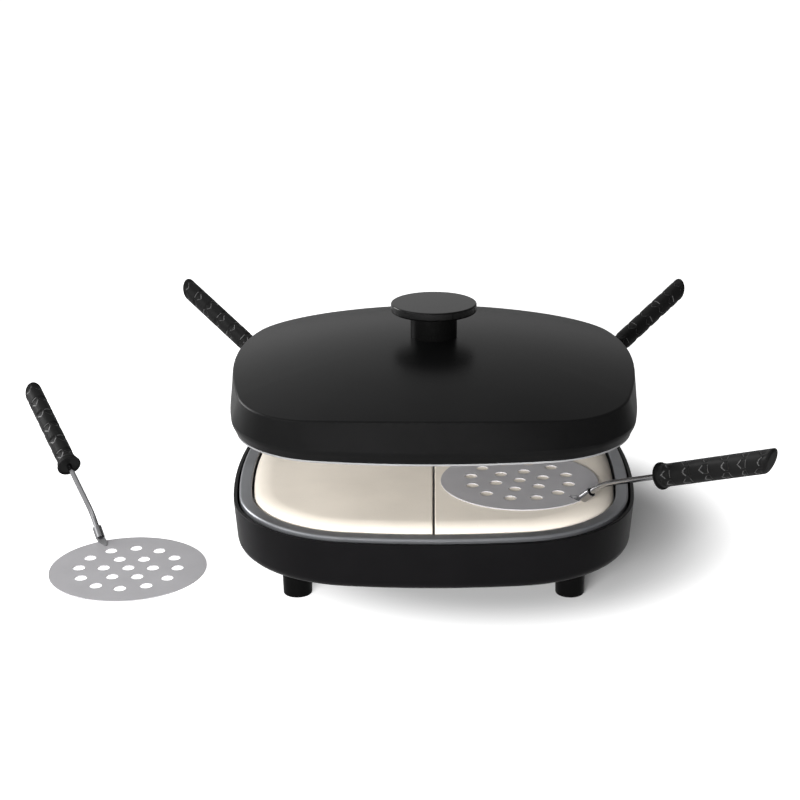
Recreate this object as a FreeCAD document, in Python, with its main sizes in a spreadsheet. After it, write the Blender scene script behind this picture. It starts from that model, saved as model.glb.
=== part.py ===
import FreeCAD, Part
import math
import os
import re

import Sketcher
from FreeCAD import Vector

# Electric pizza maker: a square base that holds a baking stone in two halves, a domed lid on
# a rear hinge, and four perforated spatulas. Millimetres, +Z up. The origin is the centre of
# the footprint on the table, +X runs to the right and +Y to the back.

SIZES = {
    # Plan outline of the base at its rim: four long side arcs and four corner arcs
    "base_half": 161.7,
    "base_side_radius": 542.0,
    "base_corner_radius": 102.5,
    # Plan outline of the lid where it is widest
    "lid_inset": 0.1,
    "lid_side_radius": 526.0,
    "lid_corner_radius": 83.0,
    # Feet
    "foot_height": 24.5,
    "foot_radius": 11.6,
    "foot_draft": 0.5,
    "foot_edge": 1.2,
    "foot_inset_x": 56.3,
    "foot_inset_y": 55.9,
    "foot_recess_radius": 5.6,
    "foot_recess_depth": 9.0,
    # Base housing
    "housing_height": 38.4,
    "housing_draft": 4.5,
    "housing_wall": 3.0,
    "housing_floor": 2.5,
    "housing_bottom_round": 9.0,
    "housing_rim_round": 0.6,
    "floor_opening_inset": 75.0,
    "cover_lap": 10.0,
    "cover_sheet": 1.0,
    "cover_gap": 0.3,
    "cover_screw_place": 40.0,
    "vent_length": 44.0,
    "vent_width": 4.0,
    "vent_pitch": 11.0,
    "vent_count": 5,
    "post_inset_x": 53.7,
    "post_place_y": 58.0,
    "post_radius": 5.5,
    "post_height": 9.0,
    # Rear block of the housing, which carries the switch and the cord gland
    "block_half_width": 32.0,
    "block_proud": 1.6,
    "block_low": 5.0,
    "block_high": 32.0,
    # Tray
    "tray_gap": 1.7,
    "tray_rise": 3.1,
    "tray_flange": 10.0,
    "tray_depth": 10.0,
    "tray_skirt": 8.5,
    "tray_sheet": 1.0,
    "tray_edge_round": 1.8,
    "tray_well_round": 0.9,
    # Baking stone
    "stone_clearance": 1.6,
    "stone_seat_gap": 0.1,
    "stone_thickness": 14.1,
    "stone_round_width": 16.0,
    "stone_round_height": 7.6,
    "stone_split_gap": 1.6,
    "stone_split_round": 1.0,
    # Heat shield under the tray
    "shield_inset": 24.0,
    "shield_sheet": 0.8,
    "shield_rim": 12.0,
    "standoff_radius": 4.6,
    # Heating elements
    "element_radius": 3.3,
    "element_inset": 73.7,
    "element_bend": 26.0,
    "element_end_bend": 8.0,
    "element_end_gap": 12.0,
    "element_end_inset": 43.7,
    "element_leg": 20.0,
    "element_leg_hole": 6.0,
    "lower_element_drop": 3.8,
    "upper_element_drop": 12.0,
    "clip_place": 40.0,
    "clip_width": 10.0,
    "clip_sheet": 0.8,
    "clip_clearance": 0.3,
    "clip_foot": 8.0,
    # Thermostat and terminal block
    "thermostat_radius": 9.0,
    "thermostat_cap_radius": 7.2,
    "thermostat_height": 10.0,
    "thermostat_place": 38.0,
    "tab_length": 6.0,
    "tab_width": 5.0,
    "tab_sheet": 0.8,
    "terminal_length": 36.0,
    "terminal_width": 16.0,
    "terminal_height": 7.6,
    "terminal_hole": 2.1,
    "terminal_pitch": 10.0,
    "terminal_place_x": 52.0,
    "terminal_inset_y": 39.7,
    # Cord gland
    "gland_place_x": 20.0,
    "service_height": 19.5,
    "gland_bore": 3.4,
    "gland_radius": 6.0,
    "gland_flange_radius": 9.0,
    "gland_flange": 2.5,
    "gland_tail": 8.0,
    # Power switch
    "switch_place_x": 18.0,
    "switch_width": 15.0,
    "switch_height": 21.4,
    "switch_bezel": 1.8,
    "switch_bezel_lap": 1.2,
    "switch_depth": 15.0,
    "switch_side": 2.2,
    "switch_cavity": 11.0,
    "rocker_clearance": 0.25,
    "rocker_length": 16.0,
    "rocker_end": 2.8,
    "rocker_middle": 1.2,
    "rocker_back": 5.0,
    "rocker_tilt": 8.0,
    "rocker_axle": 1.0,
    "axle_clearance": 0.06,
    # Lid shell
    "lid_height": 125.2,
    "lid_draft": 3.6,
    "lid_edge_rise": 7.5,
    "lid_edge_tuck": 3.7,
    "lid_edge_round": 10.0,
    "lid_sheet": 1.6,
    "dome_apex": 51.9,
    "dome_radius": 711.0,
    "lid_crease_round": 2.5,
    # Liner under the lid
    "liner_gap": 0.2,
    "liner_sheet": 0.8,
    "liner_rim": 1.6,
    "liner_rim_width": 6.0,
    "liner_ceiling": 18.0,
    "lid_post_inset": 69.6,
    "lid_post_radius": 4.0,
    # Knob
    "knob_radius": 34.3,
    "knob_cap": 7.0,
    "knob_edge_round": 2.8,
    "neck_radius": 18.6,
    "neck_height": 20.1,
    "neck_wall": 3.4,
    "neck_top": 3.0,
    # Lid hinge
    "hinge_place_x": 46.0,
    "hinge_reach": 10.8,
    "hinge_height": 124.0,
    "hinge_pin_radius": 3.0,
    "hinge_pin_clearance": 0.08,
    "knuckle_radius": 7.5,
    "knuckle_width": 12.0,
    "knuckle_side_gap": 0.4,
    "cheek_thickness": 5.2,
    "slot_clearance": 2.0,
    "bracket_foot": 9.0,
    "bracket_foot_depth": 10.5,
    "bracket_front_gap": 1.5,
    "bracket_screw_low": 17.0,
    "bracket_screw_high": 27.0,
    "arm_plate_width": 28.0,
    "arm_plate_low": 1.0,
    "arm_plate_high": 23.0,
    "arm_plate_front_gap": 9.0,
    "arm_screw_spacing": 18.0,
    "arm_screw_height": 15.0,
    "arm_screw_end_inset": 10.1,
    "arm_neck": 6.0,
    # Screws
    "screw_radius": 2.0,
    "screw_head_radius": 3.8,
    "screw_head": 2.6,
    "screw_hole_clearance": 0.2,
    "screw_end": 2.0,
    "recess_width": 1.0,
    "recess_length": 4.2,
    "recess_depth": 1.4,
    # Spatula
    "blade_radius": 62.5,
    "blade_sheet": 0.8,
    "blade_gap": 0.1,
    "blade_hole": 4.9,
    "blade_ring_one": 19.72,
    "blade_ring_two": 39.44,
    "rod_radius": 2.2,
    "socket_place": 64.2,
    "socket_rise": 2.2,
    "socket_radius": 3.8,
    "socket_length": 10.5,
    "strap_width": 6.4,
    "strap_sheet": 1.2,
    "strap_reach": 7.0,
    "rod_knee": 82.3,
    "rod_knee_height": 19.2,
    "rod_bend": 52.0,
    "rod_in_handle": 60.0,
    "handle_start": 136.0,
    "handle_length": 105.0,
    "handle_width": 15.6,
    "handle_height": 17.2,
    "handle_slant": 12.0,
    "handle_wave": 0.45,
    "handle_wave_length": 17.2,
    "collar_radius": 10.2,
    "collar_length": 4.6,
    "collar_cup": 2.0,
    "collar_round": 1.0,
    # Where each spatula lies, in from the base's outline or beside it, and how steeply its
    # handle rises
    "front_disc_inset_x": 93.6,
    "front_disc_inset_y": 112.9,
    "front_turn": -43.0,
    "front_rise": 21.0,
    "rear_disc_inset_x": 98.7,
    "rear_disc_inset_y": 83.7,
    "rear_turn": 42.6,
    "rear_rise": 24.6,
    "loose_disc_reach": 83.2,
    "loose_disc_y": -61.3,
    "loose_turn": 120.1,
    "loose_rise": 24.6,
}

LID_HALF = "(base_half - lid_inset)"
FOOT_X = "(base_half - foot_inset_x)"
FOOT_Y = "(base_half - foot_inset_y)"
POST_X = "(base_half - post_inset_x)"
ELEMENT_HALF = "(base_half - element_inset)"
ELEMENT_END = "(base_half - element_end_inset)"
TERMINAL_Y = "(base_half - terminal_inset_y)"
LID_POST = f"({LID_HALF} - lid_post_inset)"
HINGE_Y = "(base_half + hinge_reach)"
ARM_FACE = f"({HINGE_Y} - arm_plate_front_gap)"
FRONT_DISC_X = "(base_half - front_disc_inset_x)"
FRONT_DISC_Y = "(base_half - front_disc_inset_y)"
REAR_DISC_X = "(base_half - rear_disc_inset_x)"
REAR_DISC_Y = "(base_half - rear_disc_inset_y)"
RIM = "(foot_height + housing_height)"
FLOOR_TOP = "(foot_height + housing_floor)"
POST_TOP = f"({FLOOR_TOP} + post_height)"
TRAY_TOP = f"({RIM} + tray_rise)"
TRAY_INSET = "(housing_wall + tray_gap)"
WELL_INSET = f"({TRAY_INSET} + tray_flange)"
WELL_FLOOR = f"({TRAY_TOP} - tray_depth)"
TRAY_UNDER = f"({WELL_FLOOR} - tray_sheet)"
STONE_INSET = f"({WELL_INSET} + stone_clearance)"
STONE_TOP = f"({WELL_FLOOR} + stone_seat_gap + stone_thickness)"
BLOCK_FACE = "(base_half + block_proud)"
SERVICE_HEIGHT = "(foot_height + service_height)"
LID_WIDEST = "(lid_height + lid_edge_rise)"
EDGE_LEAN = "atan(lid_edge_tuck / lid_edge_rise)"
LINER_INSET = "(lid_edge_tuck + lid_sheet + liner_gap)"
CEILING = "(lid_height + liner_ceiling)"
NECK_INSIDE = "(neck_radius - neck_wall)"
DOME_SAG = f"(dome_radius - sqrt(dome_radius ^ 2 - {NECK_INSIDE} ^ 2))"
NECK_BOTTOM = f"(lid_height + dome_apex - {DOME_SAG})"
NECK_TOP = "(lid_height + dome_apex + neck_height)"
BRACKET_HALF = "(knuckle_width / 2 + knuckle_side_gap + cheek_thickness)"
COVER_SCREW = "(base_half - floor_opening_inset + cover_lap / 2)"
HOLE = "(screw_radius + screw_hole_clearance)"
SOCKET_HEIGHT = "(blade_sheet + socket_rise)"
SOCKET_TILT = f"atan((rod_knee_height - {SOCKET_HEIGHT}) / (rod_knee - socket_place))"

BASE_OUTLINE = ("base_half", "base_side_radius", "base_corner_radius")
LID_OUTLINE = (LID_HALF, "lid_side_radius", "lid_corner_radius")

doc = FreeCAD.newDocument("PizzaMaker")
sheet = doc.addObject("Spreadsheet::Sheet", "Sizes")
for row, (alias, value) in enumerate(SIZES.items(), 1):
    sheet.set(f"A{row}", alias)
    sheet.set(f"B{row}", str(value))
    sheet.setAlias(f"B{row}", alias)
doc.recompute()

nodes = []


def formula(text):
    """Point the size names in a formula at the sheet; functions keep their names."""
    return re.sub(r"\b([a-z][a-z_]+)\b(?!\()", r"Sizes.\1", text)


def size(text):
    """Work out a formula of size names."""
    result = sheet.evalExpression(formula(text))
    return float(getattr(result, "Value", result))


def bind(item, property_name, text):
    """Tie a property to a formula of size names."""
    item.setExpression(property_name, formula(text))


def placing(x="0", y="0", z="0", turn="0", pitch="0", roll="0"):
    """The formula of a placement: a position, and turns about Z, Y and X in degrees."""
    return (f"placement(vector({formula(x)}; {formula(y)}; {formula(z)});"
            f" rotation({formula(turn)}; {formula(pitch)}; {formula(roll)}))")


def new_body(label, place=None):
    """Start the body of one sub-part at its place."""
    body = doc.addObject("PartDesign::Body", label)
    body.Label = label
    body.AllowCompound = True
    body.setExpression("Placement", place or placing())
    nodes.append(body)
    return body


def new_sketch(body, role, offset="0"):
    """Attach a sketch to one of the body's origin planes, moved along that plane's normal."""
    sketch = body.newObject("Sketcher::SketchObject", f"{body.Name}_sketch")
    support = next(item for item in body.Origin.OriginFeatures if item.Role == role)
    sketch.AttachmentSupport = [(support, "")]
    sketch.MapMode = "FlatFace"
    bind(sketch, "AttachmentOffset.Base.z", offset)
    return sketch


def level_sketch(body, height):
    """A sketch that looks up, at a height."""
    return new_sketch(body, "XY_Plane", height)


def front_sketch(body, depth="0"):
    """A sketch across the object, at a place along Y; its own axes are X and Z."""
    return new_sketch(body, "XZ_Plane", f"-({depth})")


def side_sketch(body, place="0"):
    """A sketch along the object, at a place along X; its own axes are Y and Z."""
    return new_sketch(body, "YZ_Plane", place)


def tilted_sketch(body, place, height, tilt):
    """A sketch square to a run that starts at a place and height and rises at the tilt."""
    sketch = new_sketch(body, "YZ_Plane")
    sketch.setExpression("AttachmentOffset.Base.z", None)
    sketch.setExpression(
        "AttachmentOffset",
        f"placement(vector(0; {formula(height)}; {formula(place)});"
        f" rotation(vector(1; 0; 0); -{formula(tilt)}))",
    )
    return sketch


def dimension(sketch, constraint, text):
    """Add a constraint whose value follows a formula."""
    index = sketch.addConstraint(constraint)
    name = f"size_{index}"
    sketch.renameConstraint(index, name)
    bind(sketch, f"Constraints.{name}", text)


def place_point(sketch, item, end, x, y):
    """Hold one point of a sketch at a place; a zero puts it on the axis."""
    for text, axis, kind in ((x, -2, "DistanceX"), (y, -1, "DistanceY")):
        value = size(text)
        if abs(value) < 1e-9:
            sketch.addConstraint(Sketcher.Constraint("PointOnObject", item, end, axis))
        else:
            dimension(sketch, Sketcher.Constraint(kind, -1, 1, item, end, value), text)


def draw_polygon(sketch, points):
    """Draw a closed polygon through points given as pairs of formulas."""
    places = [Vector(size(x), size(y), 0) for x, y in points]
    first = sketch.GeometryCount
    for here, there in zip(places, places[1:] + places[:1]):
        sketch.addGeometry(Part.LineSegment(here, there), False)
    count = len(points)
    for index in range(count):
        item, follower = first + index, first + (index + 1) % count
        sketch.addConstraint(Sketcher.Constraint("Coincident", item, 2, follower, 1))
    for index, (x, y) in enumerate(points):
        place_point(sketch, first + index, 1, x, y)


def draw_box(sketch, left, low, right, high):
    """Draw a rectangle between two corners."""
    draw_polygon(sketch, [(left, low), (right, low), (right, high), (left, high)])


def draw_circle(sketch, x, y, radius):
    """Draw a circle."""
    centre = Vector(size(x), size(y), 0)
    item = sketch.addGeometry(Part.Circle(centre, Vector(0, 0, 1), size(radius)), False)
    place_point(sketch, item, 3, x, y)
    dimension(sketch, Sketcher.Constraint("Radius", item, size(radius)), radius)


def draw_four_circles(sketch, x, y, radius):
    """Draw four equal circles, mirrored over both axes."""
    for side in ("", "-"):
        for end in ("", "-"):
            draw_circle(sketch, f"{side}{x}", f"{end}{y}", radius)


def draw_ellipse(sketch, half_width, half_height):
    """Draw an ellipse about the origin, wide along the sketch's own X axis."""
    wide, high = size(half_width), size(half_height)
    if wide >= high:
        ends = (Vector(wide, 0, 0), Vector(0, high, 0))
        axes = ((-1, half_width), (-2, half_height))
    else:
        ends = (Vector(0, high, 0), Vector(-wide, 0, 0))
        axes = ((-2, half_height), (-1, half_width))
    item = sketch.addGeometry(Part.Ellipse(ends[0], ends[1], Vector(0, 0, 0)), False)
    sketch.exposeInternalGeometry(item)
    major, minor = item + 1, item + 2
    sketch.addConstraint(Sketcher.Constraint("Coincident", item, 3, -1, 1))
    sketch.addConstraint(Sketcher.Constraint("PointOnObject", major, 1, axes[0][0]))
    dimension(sketch, Sketcher.Constraint("Distance", major, 1, major, 2, 2 * max(wide, high)),
              f"2 * ({axes[0][1]})")
    dimension(sketch, Sketcher.Constraint("Distance", minor, 1, minor, 2, 2 * min(wide, high)),
              f"2 * ({axes[1][1]})")


def draw_outline(sketch, outline, inset="0"):
    """Draw a rounded square of eight tangent arcs, moved inwards by the inset."""
    half, side_radius, corner_radius = outline
    half_size, side, corner, inward = map(size, (half, side_radius, corner_radius, inset))
    offset = half_size - side
    reach = side - corner
    corner_place = (offset + math.sqrt(2 * reach ** 2 - offset ** 2)) / 2
    half_turn = math.atan2(corner_place, corner_place - offset)
    first = sketch.GeometryCount
    for quarter in range(4):
        start = quarter * math.pi / 2
        along, across = math.cos(start), math.sin(start)
        side_circle = Part.Circle(
            Vector(offset * along, offset * across, 0), Vector(0, 0, 1), side - inward)
        sketch.addGeometry(
            Part.ArcOfCircle(side_circle, start - half_turn, start + half_turn), False)
        corner_circle = Part.Circle(
            Vector(corner_place * (along - across), corner_place * (across + along), 0),
            Vector(0, 0, 1), corner - inward)
        sketch.addGeometry(
            Part.ArcOfCircle(corner_circle, start + half_turn,
                             start + math.pi / 2 - half_turn), False)
    for index in range(8):
        follower = first + (index + 1) % 8
        sketch.addConstraint(
            Sketcher.Constraint("Tangent", first + index, 2, follower, 1))
    for index in (2, 4, 6):
        sketch.addConstraint(Sketcher.Constraint("Equal", first, first + index))
        sketch.addConstraint(Sketcher.Constraint("Equal", first + 1, first + index + 1))
    right, back, left, front = first, first + 2, first + 4, first + 6
    for item, axis in ((right, -1), (left, -1), (back, -2), (front, -2)):
        sketch.addConstraint(Sketcher.Constraint("PointOnObject", item, 3, axis))
    dimension(sketch, Sketcher.Constraint("Radius", first, side - inward),
              f"{side_radius} - ({inset})")
    dimension(sketch, Sketcher.Constraint("Radius", first + 1, corner - inward),
              f"{corner_radius} - ({inset})")
    centre_place = f"{side_radius} - {half}"
    for kind, low, high in (
        ("DistanceX", (right, 3), (-1, 1)),
        ("DistanceX", (-1, 1), (left, 3)),
        ("DistanceY", (back, 3), (-1, 1)),
        ("DistanceY", (-1, 1), (front, 3)),
    ):
        dimension(sketch, Sketcher.Constraint(kind, *low, *high, -offset), centre_place)


def draw_route(sketch, points, bends):
    """Draw straight runs between points, joined by tangent arcs of the given radii."""
    places = [Vector(size(x), size(y), 0) for x, y in points]
    starts, ends, arcs = [places[0]], [], []
    for index, bend in enumerate(bends, 1):
        before = (places[index - 1] - places[index]).normalize()
        after = (places[index + 1] - places[index]).normalize()
        opening = before.getAngle(after)
        radius = size(bend)
        reach = radius / math.tan(opening / 2)
        middle = places[index] + (before + after).normalize() * (radius / math.sin(opening / 2))
        ends.append(places[index] + before * reach)
        starts.append(places[index] + after * reach)
        nearest = places[index] - middle
        nearest = middle + nearest.normalize() * radius
        arcs.append(Part.Arc(ends[-1], nearest, starts[-1]))
    ends.append(places[-1])
    lines = []
    for start, end in zip(starts, ends):
        lines.append(sketch.addGeometry(Part.LineSegment(start, end), False))
    place_point(sketch, lines[0], 1, *points[0])
    place_point(sketch, lines[-1], 2, *points[-1])
    for index, (arc, bend) in enumerate(zip(arcs, bends)):
        item = sketch.addGeometry(arc, False)
        line, follower = lines[index], lines[index + 1]
        forward = (sketch.getPoint(item, 1) - ends[index]).Length < 1e-6
        near, far = (1, 2) if forward else (2, 1)
        sketch.addConstraint(Sketcher.Constraint("Tangent", line, 2, item, near))
        sketch.addConstraint(Sketcher.Constraint("Tangent", item, far, follower, 1))
        dimension(sketch, Sketcher.Constraint("Radius", item, size(bend)), bend)
        knee = sketch.addGeometry(Part.Point(places[index + 1]), True)
        sketch.addConstraint(Sketcher.Constraint("PointOnObject", knee, 1, line))
        sketch.addConstraint(Sketcher.Constraint("PointOnObject", knee, 1, follower))
        place_point(sketch, knee, 1, *points[index + 1])


def check_cut(body, before):
    """Stop if a cut took nothing away."""
    if before - body.Shape.Volume < 1e-3:
        raise RuntimeError(f"a cut in {body.Label} removes nothing")


def extrude(kind, body, sketch, length, taper, backwards, both_ways):
    """Extrude a sketch as a Pad or a Pocket."""
    feature = body.newObject(f"PartDesign::{kind}", f"{body.Name}_{kind.lower()}")
    feature.Profile = sketch
    bind(feature, "Length", length)
    if taper:
        bind(feature, "TaperAngle", taper)
    feature.Reversed = backwards
    if both_ways:
        feature.SideType = "Symmetric"
    body.Tip = feature
    doc.recompute()
    return feature


def pad(body, sketch, length, taper=None, backwards=False, both_ways=False):
    """Add material along the sketch's normal."""
    return extrude("Pad", body, sketch, length, taper, backwards, both_ways)


def pocket(body, sketch, length, taper=None, backwards=False, both_ways=False):
    """Take material away against the sketch's normal, or along it when backwards."""
    before = body.Shape.Volume
    feature = extrude("Pocket", body, sketch, length, taper, backwards, both_ways)
    check_cut(body, before)
    return feature


def turn_profile(body, points, along="Z", cut=False):
    """Turn a polygon about Z, Y or X; its points are (radius, place along that axis)."""
    before = body.Shape.Volume if body.Tip else 0
    sketch = side_sketch(body) if along == "Y" else front_sketch(body)
    axis = "V_Axis" if along == "Z" else "H_Axis"
    draw_polygon(sketch, points if along == "Z" else [point[::-1] for point in points])
    kind = "Groove" if cut else "Revolution"
    feature = body.newObject(f"PartDesign::{kind}", f"{body.Name}_turned")
    feature.Profile = sketch
    feature.ReferenceAxis = (sketch, [axis])
    feature.Angle = 360
    body.Tip = feature
    doc.recompute()
    if cut:
        check_cut(body, before)
    return feature


def combine(body, other, kind):
    """Cut another body from this one, or keep only what both have in common."""
    before = body.Shape.Volume
    boolean = body.newObject("PartDesign::Boolean", f"{body.Name}_{kind.lower()}")
    boolean.Type = kind
    boolean.setObjects([other])
    body.Tip = boolean
    doc.recompute()
    check_cut(body, before)


def crop_to_dome(body, apex):
    """Keep what lies under the lid's dome; the ball is turned so that its seam is far below."""
    inside = doc.addObject("PartDesign::Body", f"{body.Name}_ball")
    inside.setExpression("Placement", placing(z=f"{apex} - dome_radius", roll="90"))
    ball = inside.newObject("PartDesign::AdditiveSphere", f"{body.Name}_sphere")
    bind(ball, "Radius", "dome_radius")
    combine(body, inside, "Common")


def sweep(body, path, profile, cut=False):
    """Carry a profile along a path that lies level, keeping it upright."""
    before = body.Shape.Volume if body.Tip else 0
    kind = "SubtractivePipe" if cut else "AdditivePipe"
    feature = body.newObject(f"PartDesign::{kind}", f"{body.Name}_sweep")
    feature.Profile = profile
    feature.Spine = path
    if cut:
        feature.Mode = "Binormal"
        feature.Binormal = Vector(0, 0, 1)
    body.Tip = feature
    doc.recompute()
    if cut:
        check_cut(body, before)
    return feature


def round_edges(body, radius, wanted):
    """Fillet every edge of the body's last feature that the test picks."""
    base = body.Tip
    names = [f"Edge{index}" for index, edge in enumerate(base.Shape.Edges, 1) if wanted(edge)]
    if not names:
        raise RuntimeError(f"no edge to round on {body.Label}")
    fillet = body.newObject("PartDesign::Fillet", f"{body.Name}_round")
    fillet.Base = (base, names)
    bind(fillet, "Radius", radius)
    body.Tip = fillet
    doc.recompute()
    return fillet


def at_height(edge, height):
    """Whether an edge lies level at a height of its own body's frame."""
    box = edge.BoundBox
    return abs(box.ZMin - height) < 1e-4 and abs(box.ZMax - height) < 1e-4


def farthest(edge):
    """How far an edge reaches from the middle, in plan."""
    box = edge.BoundBox
    return max(abs(box.XMin), abs(box.XMax), abs(box.YMin), abs(box.YMax))


def housing():
    body = new_body("base_housing")
    rim = level_sketch(body, RIM)
    draw_outline(rim, BASE_OUTLINE)
    pad(body, rim, "housing_height", taper="-housing_draft", backwards=True)
    bottom = size("foot_height")
    round_edges(body, "housing_bottom_round", lambda edge: at_height(edge, bottom))
    block = level_sketch(body, "foot_height + block_low")
    draw_box(block, "-block_half_width", "base_half - 3 * housing_wall",
             "block_half_width", BLOCK_FACE)
    pad(body, block, "block_high - block_low")
    hollow = level_sketch(body, RIM)
    draw_outline(hollow, BASE_OUTLINE, "housing_wall")
    pocket(body, hollow, "housing_height - housing_floor", taper="-housing_draft")
    floor = size(FLOOR_TOP)
    round_edges(body, "housing_bottom_round - housing_wall", lambda edge: at_height(edge, floor))
    recess = level_sketch(body, "foot_height + block_low + housing_wall")
    draw_box(recess, "-(block_half_width - housing_wall)", "base_half - 5 * housing_wall",
             "block_half_width - housing_wall", f"{BLOCK_FACE} - housing_wall")
    pocket(body, recess, "block_high - block_low - 2 * housing_wall", backwards=True)
    posts = level_sketch(body, FLOOR_TOP)
    draw_four_circles(posts, POST_X, "post_place_y", "post_radius")
    pad(body, posts, "post_height")
    opening = level_sketch(body, "foot_height")
    draw_outline(opening, BASE_OUTLINE, "floor_opening_inset")
    pocket(body, opening, "housing_floor", backwards=True)
    seat = level_sketch(body, "foot_height")
    draw_outline(seat, BASE_OUTLINE, "floor_opening_inset - cover_lap - cover_gap")
    pocket(body, seat, "cover_sheet", backwards=True)
    drill_up(body, POST_X, "post_place_y", "foot_height", "housing_floor + post_height")
    heads = level_sketch(body, "foot_height")
    draw_four_circles(heads, POST_X, "post_place_y",
                      "(screw_head_radius + screw_hole_clearance)")
    pocket(body, heads, "screw_head + screw_hole_clearance", backwards=True)
    drill_up(body, FOOT_X, FOOT_Y, "foot_height", "housing_floor")
    drill_up(body, COVER_SCREW, "cover_screw_place", "foot_height", "housing_floor")
    gland_hole = front_sketch(body, BLOCK_FACE)
    draw_circle(gland_hole, "gland_place_x", SERVICE_HEIGHT, "gland_radius")
    pocket(body, gland_hole, "2 * housing_wall", backwards=True)
    switch_hole = front_sketch(body, BLOCK_FACE)
    draw_box(switch_hole,
             "-(switch_place_x + switch_width / 2 - switch_bezel_lap)",
             f"{SERVICE_HEIGHT} - switch_height / 2 + switch_bezel_lap",
             "-(switch_place_x - switch_width / 2 + switch_bezel_lap)",
             f"{SERVICE_HEIGHT} + switch_height / 2 - switch_bezel_lap")
    pocket(body, switch_hole, "2 * housing_wall", backwards=True)
    drill_rear(body, "0", "foot_height + bracket_screw_low", "base_half - 4 * housing_wall")
    drill_rear(body, "0", "foot_height + bracket_screw_high", "base_half - 4 * housing_wall")
    height = size(RIM)
    round_edges(body, "housing_rim_round", lambda edge: at_height(edge, height))


def drill_up(body, x, y, start, depth):
    """Drill four screw holes upwards, mirrored over both axes."""
    holes = level_sketch(body, start)
    draw_four_circles(holes, x, y, HOLE)
    pocket(body, holes, depth, backwards=True)


def drill_rear(body, spacing, height, start):
    """Drill through the rear wall at both hinges, from a plane inside it to the outside."""
    holes = front_sketch(body, start)
    places = {f"hinge_place_x + ({spacing}) / 2", f"hinge_place_x - ({spacing}) / 2"}
    if size(spacing) == 0:
        places = {"hinge_place_x"}
    for place in sorted(places):
        draw_circle(holes, place, height, HOLE)
        draw_circle(holes, f"-({place})", height, HOLE)
    pocket(body, holes, f"{HINGE_Y} - (base_half - 4 * housing_wall)")


def bottom_cover():
    body = new_body("bottom_cover")
    plate = level_sketch(body, "foot_height")
    draw_outline(plate, BASE_OUTLINE, "floor_opening_inset - cover_lap")
    pad(body, plate, "cover_sheet")
    for side in ("", "-"):
        slots = level_sketch(body, "foot_height")
        middle = f"{side}floor_opening_inset / 2"
        for index in range(int(size("vent_count"))):
            row = f"({index} - (vent_count - 1) / 2) * vent_pitch"
            draw_box(slots, f"({middle}) - vent_length / 2", f"{row} - vent_width / 2",
                     f"({middle}) + vent_length / 2", f"{row} + vent_width / 2")
        pocket(body, slots, "cover_sheet", backwards=True)
    drill_up(body, COVER_SCREW, "cover_screw_place", "foot_height", "cover_sheet")


def foot(label, side, end):
    body = new_body(label, placing(f"{side}{FOOT_X}", f"{end}{FOOT_Y}"))
    turn_profile(body, [
        (HOLE, "foot_recess_depth"), ("foot_recess_radius", "foot_recess_depth"),
        ("foot_recess_radius", "0"), ("foot_radius - foot_draft", "0"),
        ("foot_radius", "foot_height"), (HOLE, "foot_height"),
    ])
    round_edges(body, "foot_edge",
                lambda edge: at_height(edge, 0) and farthest(edge) > size("foot_recess_radius") + 1)


def screws(label, places, length, head="screw_head_radius"):
    """A group of screws with heads at the given places and shanks along +Z, or +Y for a wall."""
    body = new_body(label)
    for x, y, z in places:
        shank = level_sketch(body, f"{z} - screw_head / 2")
        draw_circle(shank, x, y, "screw_radius")
        pad(body, shank, f"{length} + screw_head / 2")
        cap = level_sketch(body, z)
        draw_circle(cap, x, y, head)
        pad(body, cap, "screw_head", backwards=True)
        recess = level_sketch(body, f"{z} - screw_head")
        draw_cross(recess, x, y)
        pocket(body, recess, "recess_depth", backwards=True)


def wall_screws(label, places, length):
    """A group of screws that go forwards into a rear wall."""
    body = new_body(label)
    for x, y, z in places:
        shank = front_sketch(body, f"{y} + screw_head / 2")
        draw_circle(shank, x, z, "screw_radius")
        pad(body, shank, f"{length} + screw_head / 2")
        cap = front_sketch(body, y)
        draw_circle(cap, x, z, "screw_head_radius")
        pad(body, cap, "screw_head", backwards=True)
        recess = front_sketch(body, f"{y} + screw_head")
        draw_cross(recess, x, z)
        pocket(body, recess, "recess_depth", backwards=True)


def draw_cross(sketch, x, y):
    """Draw the cross recess of a screw head."""
    wide, long = "recess_width / 2", "recess_length / 2"
    corners = [
        (wide, wide), (wide, long), (f"-{wide}", long), (f"-{wide}", wide),
        (f"-{long}", wide), (f"-{long}", f"-{wide}"), (f"-{wide}", f"-{wide}"),
        (f"-{wide}", f"-{long}"), (wide, f"-{long}"), (wide, f"-{wide}"),
        (long, f"-{wide}"), (long, wide),
    ]
    draw_polygon(sketch, [(f"{x} + {across}", f"{y} + {along}") for across, along in corners])


def four_places(x, y, z):
    """Four places mirrored over both axes."""
    return [(f"{side}{x}", f"{end}{y}", z) for side in ("", "-") for end in ("", "-")]


def tray():
    body = new_body("tray")
    flange = level_sketch(body, TRAY_TOP)
    draw_outline(flange, BASE_OUTLINE, TRAY_INSET)
    pad(body, flange, "tray_skirt", backwards=True)
    well = level_sketch(body, TRAY_TOP)
    draw_outline(well, BASE_OUTLINE, f"{WELL_INSET} - tray_sheet")
    pad(body, well, "tray_depth + tray_sheet", backwards=True)
    top = size(TRAY_TOP)
    round_edges(body, "tray_edge_round", lambda edge: at_height(edge, top))
    inside = level_sketch(body, TRAY_TOP)
    draw_outline(inside, BASE_OUTLINE, WELL_INSET)
    pocket(body, inside, "tray_depth")
    under = level_sketch(body, f"{TRAY_TOP} - tray_skirt")
    draw_outline(under, BASE_OUTLINE, f"{TRAY_INSET} + tray_sheet")
    draw_outline(under, BASE_OUTLINE, f"{WELL_INSET} - tray_sheet")
    pocket(body, under, "tray_skirt - tray_sheet", backwards=True)
    inner = size(f"base_half - {WELL_INSET}")
    round_edges(body, "tray_well_round",
                lambda edge: at_height(edge, top) and farthest(edge) < inner + 0.5)


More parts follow.
